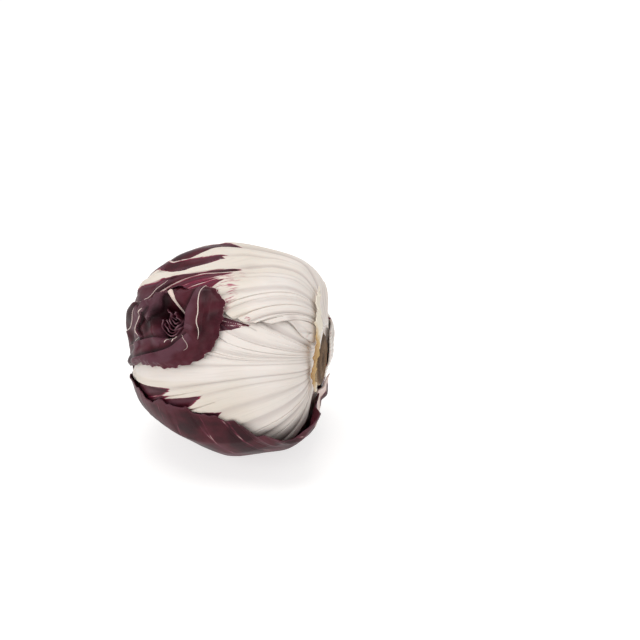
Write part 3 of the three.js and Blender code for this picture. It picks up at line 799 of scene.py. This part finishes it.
def make_leaf(order, material, rows, per_rib):
    """One leaf, from its place in the order in which they lie, with so many rows and points to a rib."""
    leaf = LEAVES[order]
    step = 2 / (2 * leaf["ribs"] + 1)
    t, w = np.linspace(0, 1, rows)[:, None], rib_columns(leaf["ribs"], per_rib)[None, :]
    v = solve_v(leaf, t, w, step)
    notch = leaf["notch"] * (2 * np.abs(w / step - np.round(w / step))) ** 4
    x, y = leaf_point(leaf, t, v, -notch)
    d = to_direction(leaf, x, y)
    relief, inside, shade_and_bruise, near_red = rib_pattern(leaf, t, v, w, x, y)
    flush = ovals(FLUSHES.get(leaf["name"], []), x, y)
    if "feathered" in leaf:
        first, last = leaf["feathered"]
        white_to = smooth_through(leaf["white_to"], v)
        flush = np.maximum(flush, ease((t - white_to + 0.1) / 0.1) * ease((v - first) / 0.08)
                           * ease((last - v) / 0.06))
    inside = np.maximum(inside, 3.2 * ovals(PALE_PLACES.get(leaf["name"], []), x, y) - 2.2)
    shade_and_bruise = np.maximum(shade_and_bruise, ovals(BRUISES.get(leaf["name"], []), x, y))
    if leaf["name"] == "leaf_front":
        wedge = wedge_depth(x, y)
        for line in RED_WEDGE_LINES:
            wedge = np.minimum(wedge, np.abs(line_distance(x, y, np.array(line))[0]) - 0.25)
        inside = np.minimum(inside, np.maximum(-4 * wedge, -2.6))
        flush = ease(wedge + 0.6)
    low = floor_under(order, d) + CLEARANCE * (1 - 0.6 * ease((t - 0.85) / 0.15))
    if leaf["name"] == "leaf_under":
        low = low + edge_lift(t, v) + buckles(d) * ease((1 - t) / 0.2)
        relief = relief * (1 - 0.75 * near_red)
        inside = np.minimum(inside, 1.5 - 1.6 * near_red) - 1.6 * near_red * ease((0.5 - t) / 0.3)
    thick = SHEET * (1 - (1 - EDGE_SHARE) * ease((t - 0.8) / 0.2))
    outer, inner = point_at(d, low + thick + relief), point_at(d, low)
    if leaf["name"] == "leaf_under":
        outer = settle(outer)
    grain = np.stack([w * GRAIN_ACROSS + 0 * t, t * GRAIN_ALONG + 0 * w, 0 * t * w + leaf["around"]], axis=-1)
    # painted highlight where ribs and veins stand high, and a paler margin at the very edge
    highlight_and_bloom = 0.6 * ease((relief - 0.1) / 0.5) + 0.4 * ease((t - 0.985) / 0.015)
    fields = dict(inside=inside, shade_and_bruise=shade_and_bruise, near_red=near_red, flush=flush, highlight_and_bloom=highlight_and_bloom, grain=grain)
    points = np.concatenate([outer.reshape(-1, 3), inner[::2, ::2].reshape(-1, 3)])
    return make_piece(leaf["name"] + "_fine", points, skin_faces(rows, w.size, False),
                      {key: skin_values(values) for key, values in fields.items()}, material,
                      [leaf["name"]])


for order, leaf in enumerate(LEAVES):
    if leaf["name"] == "leaf_under":
        make_leaf(order, wine_leaf, LEAF_ROWS, POINTS_PER_RIB)
    elif leaf["name"] in ("leaf_front", "leaf_top"):
        make_leaf(order, white_ribbed, LEAF_ROWS, POINTS_PER_RIB)
    elif leaf["name"] != "crown_flap":
        make_leaf(order, white_ribbed, BACK_LEAF_ROWS, BACK_POINTS_PER_RIB)

# %% [markdown]
# ## The crown
#
# At the crown the tips of the leaves close. The last one folds over as a dark flap with a torn edge, and
# other tips lie on it and beside it, each a thin layer with a sharp, pale margin. The flap is a disc of rings
# round the crown. Each layer is drawn as a line on the plane of the crown, in millimetres, up the head and to
# its right: on one side of it the surface stands higher by its first number, and sinks back over its
# second, and the other side gets painted shade. Where the flap stands high it gets a painted highlight. A
# fold is a ridge or a groove along its line, and a dell is a soft oval of painted shade.

# %% The relief of the crown
CROWN = next(i for i, leaf in enumerate(LEAVES) if leaf["name"] == "crown_flap")
crown = LEAVES[CROWN]
HOLLOW_DEPTH = 11.5
HOLLOW_MIDDLE = (0.5, 2.0)
HOLLOW_RADIUS = 12.0
FLAP_SHEET = 1.0
LAYERS = [
    (3.4, 13, [(21, 8.6), (16.6, 4), (13.6, 1.6), (9.9, -2), (4.6, -9.2), (2.5, -11)]),
    (1.8, 9, [(9, -19), (11.2, -16.1), (15.4, -5.7), (18.8, 3), (21, 8)]),
    (2.6, 9, [(9.5, -9), (8.4, -12.6), (8.2, -16.7), (4.6, -19.2), (2.8, -24.4), (-2.7, -19.6), (-4, -17)]),
    (2.0, 8, [(7.3, -40), (7.2, -30.6), (9.1, -27.4), (12.2, -26.1), (13.3, -22.7), (14, -19)]),
    (2.4, 10, [(-5, 10), (-2.9, 11.1), (-0.9, 12.1), (4.6, 14.8), (11.9, 18.2), (17, 21)]),
    (1.9, 9, [(5, -6.5), (1.6, -5), (-4.6, -4.4), (-8.2, -1.2), (-11.6, 4.5), (-9.4, 10.6), (-4, 13.4)]),
    (2.0, 9, [(-1, -40), (-4.3, -31), (-4.5, -26), (-5.9, -19.7), (-6.8, -7.7), (-9, -1)]),
    (1.8, 9, [(-13, -28), (-14.3, -20.4), (-15.4, -5.4), (-15.3, 3.2), (-12.1, 9.8), (-9, 14)]),
]
# soft ovals of painted shade: middle, half width, half length, turn, strength
SHADED_DELLS = [(6.5, -4.0, 3.5, 5.0, 0.0, 1.0), (0.0, -13.5, 4.0, 5.0, 0.3, 0.8), (-1.0, 3.0, 9.0, 7.0, 0.0, 0.6)]
FOLDS = [
    (1.6, 6, [(-6, -46), (-15, -32), (-20, -14), (-21, 0), (-20, 12)]),
    (-1.0, 5, [(13, 8), (6, 11), (-2, 14)]),
    (1.0, 6, [(13, 27), (5, 27), (-4, 25), (-12, 22)]),
    (-0.9, 4, [(12, 23.5), (4, 23.5), (-6, 22), (-14, 19)]),
    (0.9, 5, [(-6, 17), (-12, 14), (-17, 8)]),
]
print("the crown has", len(LAYERS), "layers,", len(FOLDS), "folds and", len(SHADED_DELLS), "dells")


# %% Layers and folds
def smooth_line(points, times=3):
    """A line with its corners cut off, again and again."""
    line = np.array(points, float)
    for _ in range(times):
        near, far = 0.75 * line[:-1] + 0.25 * line[1:], 0.25 * line[:-1] + 0.75 * line[1:]
        line = np.concatenate([line[:1], np.stack([near, far], axis=1).reshape(-1, 2), line[-1:]])
    return line


def flap_floor(x, y, d):
    """The height that the flap lies at, with the hollow in its middle."""
    away = np.hypot(x - HOLLOW_MIDDLE[0], y - HOLLOW_MIDDLE[1])
    return floor_under(CROWN, d) + CLEARANCE * 0.5 - HOLLOW_DEPTH * ease((HOLLOW_RADIUS - away) / 6)


def flap_relief(x, y):
    """The height of the flap's layers and folds over its floor, in mm, the painted shade of its crevices and
    dells, and how pale its margins are, with a painted highlight where it stands high (0-1)."""
    relief = 0.45 * np.sin(0.5 * x + 0.2 * y + 1) * np.sin(0.4 * y - 0.25 * x) + 1.0
    painted_shade, pale_rim_and_highlight = ovals(SHADED_DELLS, x, y), 0 * x
    for height, reach, line in LAYERS:
        gap, where = line_distance(x, y, smooth_line(line, 2))
        ends = np.sin(np.pi * np.clip(where, 0, 1)) ** 0.35
        relief = relief + height * ends * ease((gap + 0.3) / 0.6) * np.maximum(0, 1 - gap / reach) ** 1.2
        # painted shade on the low side of each layer's edge
        painted_shade = np.maximum(painted_shade, ends * ease(1 + gap / (1.8 * height)) * (gap < 0))
        pale_rim_and_highlight = np.maximum(pale_rim_and_highlight, ends * (1 - ease(gap / 1.1)) * (gap > 0) * (0.75 + 0.25 * np.sin(9 * where)))
    for height, width, line in FOLDS:
        gap, where = line_distance(x, y, smooth_line(line, 2))
        relief = relief + height * np.sin(np.pi * where) * np.maximum(0, 1 - np.abs(gap) / width) ** 1.5
    # painted highlight where the flap stands high
    pale_rim_and_highlight = np.maximum(pale_rim_and_highlight, 0.6 * ease((relief - 1.6) / 1.6))
    return relief, painted_shade, pale_rim_and_highlight


trial = np.linspace(-20, 20, 41)
relief = flap_relief(*np.meshgrid(trial, trial))[0]
print("layers and folds stand up to", round(float(relief.max()), 1), "mm over the floor of the flap")

# %% The flap of the crown
FLAP_RINGS, FLAP_SPOKES = 151, 400
turn = np.linspace(-180, 180, FLAP_SPOKES, endpoint=False)[None, :]
ring = np.linspace(0.02, 1, FLAP_RINGS)[:, None] ** 0.85
a = np.radians(turn)
torn = 0.7 * np.abs(np.sin(5.5 * a + 1)) + 0.5 * np.abs(np.sin(11.5 * a + 2)) + 0.25 * np.sin(43 * a)
torn -= 0.7
rim = outline_radius(crown, turn) + torn
x, y = rim * ring * np.sin(a), rim * ring * np.cos(a)
d = to_direction(crown, x, y)
low = flap_floor(x, y, d)
relief, painted_shade, pale_rim_and_highlight = flap_relief(x, y)
thick = FLAP_SHEET * (1 - 0.5 * ease((ring - 0.85) / 0.15))
to_edge = (1 - ring) * rim
outer = point_at(d, low + thick + relief * (0.3 + 0.7 * ease(to_edge / 3)))
inner = point_at(d, low)
pale_edge = 0.5 * np.maximum(0, np.sin(3 * a + 0.5)) - to_edge * 2.2
fields = dict(inside=np.maximum(-3 + 0 * x, pale_edge), shade_and_bruise=painted_shade, near_red=0 * x, highlight_and_bloom=pale_rim_and_highlight,
              flush=0.35 * ease((12 - np.hypot(x, y - 2)) / 5) + 0.25 * ease(1.2 - to_edge / 5),
              grain=np.stack([x, y, 0 * x], axis=-1))
make_piece("crown_flap_fine", np.concatenate([outer.reshape(-1, 3), inner[::2, ::2].reshape(-1, 3)]),
           skin_faces(FLAP_RINGS, FLAP_SPOKES, True),
           {key: skin_values(values) for key, values in fields.items()}, wine_leaf, ["heart"])

# %% [markdown]
# ## Veins of the crown
#
# The veins of the flap and the pale rims of its layers are cords of flesh, thinner than a millimetre. Two
# short pale cords on the curled tips are painted highlights. A cord that is its own thin tube, half sunk in
# the flap and tapered to both ends, stays crisp, where one that is painted on the grid would look beaded.

# %% Veins of the crown
CORD_SIDES = 8
CORDS = [
    (0.34, [(15.8, 23.4), (11.6, 20.8), (7.4, 20.4), (1.8, 20.6), (-3.4, 18.8), (-8.8, 20), (-14, 18.6)]),
    (1.45, [(14.8, 3.8), (12.6, 5), (10.6, 6), (6.6, 8), (2.8, 10.2)]),
    (0.2, [(-7.2, 9.6), (-10.6, 11.6), (-16, 14.2), (-18, 10)]),
    (0.36, [(6.8, -39), (6.6, -30), (8.6, -26.6), (11.8, -25.2), (12.8, -22)]),
    (0.55, [(9, -12.8), (8.9, -17.3), (5.3, -20), (3.3, -25.6), (-2.6, -20.8)]),
    (0.28, [(-3.8, -18.4), (-2.8, -27.8), (-3.4, -37)]),
    # these two short pale cords are painted highlights on curled tips
    (0.4, [(-9.4, 2.6), (-11.8, 0.6)]),
    (0.4, [(-9.6, 7.6), (-12.2, 4.8)]),
    (0.2, [(19, 3.4), (15.6, -5.7), (11.6, -15)]),
]


def cord_on_flap(half_width, line, first):
    """Points and faces of one tapered cord that lies on the flap."""
    path = smooth_line(line)
    x, y = path[:, 0], path[:, 1]
    d = to_direction(crown, x, y)
    lengths = np.concatenate([[0], np.cumsum(np.linalg.norm(np.diff(path, axis=0), axis=1))])
    s = lengths / lengths[-1]
    half = half_width * (np.sin(np.pi * np.clip(0.06 + 0.88 * s, 0, 1)) ** 0.6 if half_width < 1
                         else 1.05 - 0.75 * s)[:, None]
    centre = point_at(d, flap_floor(x, y, d) + FLAP_SHEET + flap_relief(x, y)[0] - 0.1)
    along = np.gradient(centre, axis=0)
    across = np.cross(along, d)
    across /= np.linalg.norm(across, axis=1)[:, None]
    turn = np.linspace(0, 2 * np.pi, CORD_SIDES, endpoint=False)
    points = np.concatenate([centre[:, None, :] + across[:, None, :] * (half * np.cos(turn))[..., None]
                             + d[:, None, :] * (0.65 * half * np.sin(turn))[..., None]])
    i, j = np.arange(len(path) - 1)[:, None] * CORD_SIDES + first, np.arange(CORD_SIDES)[None, :]
    ahead = (j + 1) % CORD_SIDES
    sides = np.stack([i + j, i + ahead, i + ahead + CORD_SIDES, i + j + CORD_SIDES], axis=-1).reshape(-1, 4)
    last = first + (len(path) - 1) * CORD_SIDES
    ends = [list(range(first + CORD_SIDES - 1, first - 1, -1)), list(range(last, last + CORD_SIDES))]
    return points.reshape(-1, 3), sides.tolist() + ends


cord_points, cord_faces = [], []
for half_width, line in CORDS:
    points, faces = cord_on_flap(half_width, line, sum(len(p) for p in cord_points))
    cord_points.append(points)
    cord_faces += faces
cord_points = np.concatenate(cord_points)
none = np.zeros(len(cord_points))
make_piece("crown_veins_and_highlights", cord_points, cord_faces,
           dict(inside=none + 3, shade_and_bruise=none, near_red=none, flush=none, highlight_and_bloom=none, grain=cord_points),
           pale_vein, ["heart"])

# %% [markdown]
# ## The curled tips
#
# Inside the hollow the youngest tips stand folded into one another like a rosebud. Each is a thin sheet that
# stands along a bent line on the plane of the crown, lower at its two ends, with a painted highlight along
# its waved upper edge and painted shade low down in the hollow.

# %% The curled tips
CURLED_TIPS = [
    (-0.4, [(3.4, -5.2), (-1.6, -4), (-5.8, -2.4), (-8.4, 1), (-10.4, 4.5), (-9.6, 7.4), (-7.6, 10),
            (-5, 11.4)]),
    (-1.0, [(1.2, -3.6), (-3.6, -1.2), (-7, 1.8), (-8.2, 5), (-7, 8), (-4.4, 10)]),
    (-1.4, [(3, -2.2), (-1.6, 0), (-4.7, 2.1), (-6.2, 4.9), (-5.2, 7.4), (-2.7, 9.6), (0, 10.8)]),
    (-1.8, [(5, -0.6), (1, 0.8), (-2.4, 2.6), (-4.2, 5), (-2.8, 7.4)]),
    (-1.6, [(6.8, 0.6), (2.8, 2), (-1, 4), (-2.2, 6.2), (-0.4, 8.4)]),
    (-1.0, [(9.4, -1.8), (6.8, 0.5), (5, 2.3), (2.6, 3.2), (0.8, 5.2)]),
    (-0.8, [(6.4, 4.6), (3.4, 6), (1, 7.8), (-1.4, 9.8)]),
]
TIP_FEET = 2.0
TIP_LEAN = 0.14
TIP_HALF_SHEET = 0.3
TIP_ROWS, TIP_COLUMNS = 25, 81

hollow_way = to_direction(crown, *(np.array(c) for c in HOLLOW_MIDDLE))
mouth = float(floor_under(CROWN, hollow_way)) + CLEARANCE + FLAP_SHEET
root = mouth - HOLLOW_DEPTH - TIP_FEET
t, s = np.linspace(0, 1, TIP_ROWS)[:, None], np.linspace(-1, 1, TIP_COLUMNS)[None, :]
tip_points, tip_faces, tip_grain, tip_heights, tip_rim_highlights = [], [], [], [], []
for number, (rise, line) in enumerate(CURLED_TIPS):
    path = smooth_line(line)
    lengths = np.concatenate([[0], np.cumsum(np.linalg.norm(np.diff(path, axis=0), axis=1))])
    path = np.stack([np.interp((s[0] + 1) / 2 * lengths[-1], lengths, path[:, k]) for k in (0, 1)], axis=1)
    ahead = np.gradient(path, axis=0)
    ahead /= np.linalg.norm(ahead, axis=1)[:, None]
    height = root + (mouth + rise - 1.6 * s ** 4 + 0.35 * np.sin(9 * s + 2 * number) - root) * t
    sides = []
    for half in (TIP_HALF_SHEET, -TIP_HALF_SHEET):
        half = half * (1 - 0.4 * t) + 0.3 * np.sin(7 * s + number) * t * t
        x = (path[:, 0] - HOLLOW_MIDDLE[0] - ahead[:, 1] * half) * (1 - TIP_LEAN * t * t)
        y = (path[:, 1] - HOLLOW_MIDDLE[1] + ahead[:, 0] * half) * (1 - TIP_LEAN * t * t)
        sides.append(HEAD_CENTRE + height[..., None] * hollow_way + x[..., None] * crown["across"]
                     + y[..., None] * crown["tip"])
    first = sum(len(points) for points in tip_points)
    tip_points.append(np.concatenate([sides[0].reshape(-1, 3), sides[1][::2, ::2].reshape(-1, 3)]))
    tip_faces += [[corner + first for corner in face] for face in skin_faces(TIP_ROWS, TIP_COLUMNS, False)]
    tip_heights.append(skin_values(t + 0 * s))
    # a painted highlight along the upper rim of each tip
    tip_rim_highlights.append(skin_values(ease((t - 0.8) / 0.18) * (0.7 + 0.3 * np.sin(5 * s + 3 * number))))
    tip_grain.append(skin_values(np.stack([s * 8 + 0 * t, t * 12 + 0 * s, 0 * s * t + number], axis=-1)))
tip_height, tip_rim_highlight = np.concatenate(tip_heights), np.concatenate(tip_rim_highlights)
none = 0 * tip_height
# painted shade, darker towards the feet of the tips deep in the hollow
fields = dict(inside=none - 3, shade_and_bruise=0.7 * ease((0.95 - tip_height) / 0.4), near_red=none,
              flush=none + 0.5, highlight_and_bloom=tip_rim_highlight, grain=np.concatenate(tip_grain))
make_piece("curled_tips", np.concatenate(tip_points), tip_faces, fields, wine_leaf, ["heart"])

# %% [markdown]
# ## The imported heart
#
# What shows of the imported leaves between the outer ones is a narrow strip here and there, so one closed
# body is enough for them. It is drawn in under the flap at the crown, and painted shade darkens it there.

# %% The imported heart
CORE_INSET = 1.0
CORE_RINGS, CORE_SPOKES = 101, 140
ring = np.linspace(1.0, 176.0, CORE_RINGS)[:, None]
turn = np.linspace(-180, 180, CORE_SPOKES, endpoint=False)[None, :]
x, y = ring * np.sin(np.radians(turn)), ring * np.cos(np.radians(turn))
d = to_direction(crown, x, y)
sunk = ease((22 - ring) / 8)
r = (1 - sunk) * (heart_radius(d) - CORE_INSET) + sunk * (flap_floor(x, y, d) - 1.0)
# painted shade where the heart is drawn in under the flap
fields = dict(inside=-3 + 5 * ease((d[..., 0] - 0.3) / 0.5), shade_and_bruise=0.7 * sunk + 0 * x, near_red=0 * x,
              flush=0 * x, highlight_and_bloom=0 * x,
              grain=np.stack([turn + 0 * ring, ring + 0 * turn, 0 * x], axis=-1))
make_piece("packed_heart", np.concatenate([point_at(d, r).reshape(-1, 3),
                                           point_at(d, r - 1.5)[::2, ::2].reshape(-1, 3)]),
           skin_faces(CORE_RINGS, CORE_SPOKES, True),
           {key: skin_values(values) for key, values in fields.items()}, wine_leaf, ["heart"])

# %% [markdown]
# ## Cut stem and torn leaf base
#
# The stem was cut with a knife. Its face has dried to a corky brown, darkest in the pith. A leaf
# that was pulled off left the dry, papery base that clasps the stem's front side: cream where it was
# broken last, ochre and brown where it has dried longest.

# %% Dry surfaces
CORK_GRAIN = 0.7
DRY_FIBRE = 0.4


def dry_surface(name, colours, grain_mm, stretch, bump_strength):
    """Dried plant tissue: grains or fibres of a real size, from the darkest colour to the palest."""
    material, tree = material_tree(name)
    grain = add_node(tree, "ShaderNodeAttribute", dict(attribute_name="grain")).outputs["Vector"]
    age = add_node(tree, "ShaderNodeAttribute", dict(attribute_name="age")).outputs["Fac"]
    placed = add_node(tree, "ShaderNodeVectorMath", dict(operation="MULTIPLY"), i0=grain, i1=stretch)
    cells = add_node(tree, "ShaderNodeTexNoise", Vector=placed.outputs[0], Scale=1 / grain_mm, Detail=6.0)
    mixed = add_node(tree, "ShaderNodeMath", dict(operation="MULTIPLY_ADD"), i0=cells.outputs["Fac"], i1=0.55,
                     i2=age)
    colour = ramp_through(tree, mixed.outputs[0], list(zip((0.25, 0.55, 0.85), colours)))
    bump = add_node(tree, "ShaderNodeBump", Height=cells.outputs["Fac"], Strength=bump_strength,
                    Distance=0.4 * MM)
    skin = add_node(tree, "ShaderNodeBsdfPrincipled", Base_Color=colour, Normal=bump.outputs[0],
                    Roughness=0.8, Specular_IOR_Level=0.25)
    add_node(tree, "ShaderNodeOutputMaterial", Surface=skin.outputs[0])
    return material


dried_cork = dry_surface("dried_cut_cork", ("#bfa98a", "#84694f", "#46352a"), CORK_GRAIN,
                         (1.0, 1.0, 1.0), 0.5)
papery_leaf = dry_surface("papery_dry_leaf", ("#ece3d3", "#d3b27c", "#9c7044"), DRY_FIBRE, (0.12, 1.0, 1.0),
                          0.6)
print("dry materials:", dried_cork.name, papery_leaf.name)

# %% Stem
STUMP_RADIUS = 14.0
STUMP_FACE_X = 52.0
STUMP_GAP = 0.3
STUMP_ROWS, STUMP_SPOKES = 60, 120
start = HEART_SEAT_X - CORE_INSET + STUMP_GAP
profile = np.array([(0.05, start), (STUMP_RADIUS + 0.6, start), (STUMP_RADIUS + 0.8, start + 2.5),
                    (STUMP_RADIUS, STUMP_FACE_X - 1.2), (STUMP_RADIUS - 1, STUMP_FACE_X - 0.2),
                    (STUMP_RADIUS - 4, STUMP_FACE_X), (0.05, STUMP_FACE_X - 0.6)])
lengths = np.concatenate([[0], np.cumsum(np.linalg.norm(np.diff(profile, axis=0), axis=1))])
s = np.linspace(0, lengths[-1], STUMP_ROWS)
radius, height = (np.interp(s, lengths, profile[:, k])[:, None] for k in (0, 1))
turn = np.linspace(0, 2 * np.pi, STUMP_SPOKES, endpoint=False)[None, :]
uneven = 1 + 0.03 * np.sin(3 * turn + 1) + 0.02 * np.sin(7 * turn) + 0.01 * np.sin(17 * turn)
face = ease((height - STUMP_FACE_X + 2) / 1.5)
points = np.stack([height + face * 0.35 * np.sin(radius * 1.3 + 2 * np.sin(2 * turn)) * (radius < 12),
                   -radius * uneven * np.cos(turn), radius * uneven * np.sin(turn)], axis=-1)
pith, bark = np.exp(-(radius / 5) ** 2), np.exp(-((radius - 12.5) / 1.5) ** 2)
age = face * (0.35 + 0.2 * pith + 0.15 * bark) + 0 * turn
i, j = np.arange(STUMP_ROWS - 1)[:, None] * STUMP_SPOKES, np.arange(STUMP_SPOKES)[None, :]
ahead = (j + 1) % STUMP_SPOKES
stump_faces = np.stack([i + j, i + ahead, i + ahead + STUMP_SPOKES, i + j + STUMP_SPOKES], axis=-1)
stump_faces = stump_faces.reshape(-1, 4)
ends = [list(range(STUMP_SPOKES - 1, -1, -1)),
        list(range((STUMP_ROWS - 1) * STUMP_SPOKES, STUMP_ROWS * STUMP_SPOKES))]
make_piece("cut_stem", points + HEAD_CENTRE, stump_faces.tolist() + ends,
           dict(grain=points.reshape(-1, 3), age=age.ravel()), dried_cork, ["stump"])

# %% Torn leaf base
TORN_POLAR = 28.5
TORN_FROM, TORN_TO = -9.0, 96.0
TORN_ROWS, TORN_COLUMNS = 25, 241
s, across = np.linspace(0, 1, TORN_COLUMNS)[None, :], np.linspace(-1, 1, TORN_ROWS)[:, None]
around = TORN_FROM + (TORN_TO - TORN_FROM) * s
middle = TORN_POLAR + 2.4 * np.sin(np.pi * s) + 0.001 * (around - TORN_FROM) ** 2
half = 0.6 + 3.2 * np.sin(np.pi * s) ** 0.7 * (1 + 0.25 * np.sin(9 * s + 1))
ragged = 0.7 * np.sin(31 * s + 2 * across) + 0.5 * np.sin(77 * s) + 0.2 * np.sin(151 * s)
ragged = ragged * ease(np.abs(across))
d = direction_at(middle + half * across + ragged, around + 0 * across)
low = floor_under(len(LEAVES), d) + CLEARANCE + 0.8 * ease(across) * np.sin(np.pi * s)
low = low + 0.3 * np.sin(44 * s + 2 * across) + 0.12 * np.sin(130 * s - 3 * across)
fields = dict(grain=np.stack([s * 120 + 0 * across, across * 4 + 0 * s, 0 * s * across], axis=-1),
              age=0.4 * ease(s / 0.15) - 0.62 * ease((s - 0.4) / 0.3) + 0.08 * across)
make_piece("torn_leaf_base_fine", np.concatenate([point_at(d, low + 0.6).reshape(-1, 3),
                                                  point_at(d, low)[::2, ::2].reshape(-1, 3)]),
           skin_faces(TORN_ROWS, TORN_COLUMNS, False),
           {key: skin_values(values) for key, values in fields.items()}, papery_leaf,
           ["torn_leaf_base"])

# %% [markdown]
# ## Floor and light
#
# The head lies on a white sweep in soft light from all round, with a broad light overhead, so that the
# floor goes to white and only a soft shadow is left under the head. The card of the sweep is lit from below
# as well, as a light table is, which the faint glow of its material stands for.

# %% Floor and light
scene = bpy.context.scene
FLOOR_HALF = 3.0
floor_mesh = bpy.data.meshes.new("floor")
floor_corners = [(x * FLOOR_HALF, y * FLOOR_HALF, 0) for x, y in ((-1, -1), (1, -1), (1, 1), (-1, 1))]
floor_mesh.from_pydata(floor_corners, [], [(0, 1, 2, 3)])
floor = bpy.data.objects.new("floor", floor_mesh)
scene.collection.objects.link(floor)
floor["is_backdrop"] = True
glowing_card, card_tree = material_tree("glowing_white_card")
card = add_node(card_tree, "ShaderNodeBsdfPrincipled", Base_Color=linear("#b7b5b3"), Roughness=0.9,
                Specular_IOR_Level=0.1, Emission_Color=linear("#ffffff"), Emission_Strength=0.7)
add_node(card_tree, "ShaderNodeOutputMaterial", Surface=card.outputs[0])
floor_mesh.materials.append(glowing_card)

LIGHT_AIM = (0, 0, 0.05)
world = bpy.data.worlds.new("studio")
world.use_nodes = True
sky = next(node for node in world.node_tree.nodes if node.type == "BACKGROUND")
sky.inputs["Color"].default_value = linear("#ffffff")
sky.inputs["Strength"].default_value = 0.58
scene.world = world


def soft_light(name, place, size, power):
    """A round soft light at a place, in metres, aimed at the head."""
    light = bpy.data.lights.new(name, "AREA")
    light.shape, light.size, light.energy = "DISK", size, power
    lamp = bpy.data.objects.new(name, light)
    lamp.location = place
    lamp.rotation_mode = "QUATERNION"
    lamp.rotation_quaternion = (Vector(LIGHT_AIM) - Vector(place)).to_track_quat("-Z", "Y")
    scene.collection.objects.link(lamp)


soft_light("overhead", (-0.1, -0.1, 1.3), 0.9, 7.5)
soft_light("front_fill", (-0.5, -1.3, 0.9), 0.8, 4.6)
scene.view_settings.view_transform = "Standard"

# %% [markdown]
# ## The size
#
# The dressed head has to fill the same box as the solid one. Here the box round the dressed pieces is
# measured.

# %% Size
low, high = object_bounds()
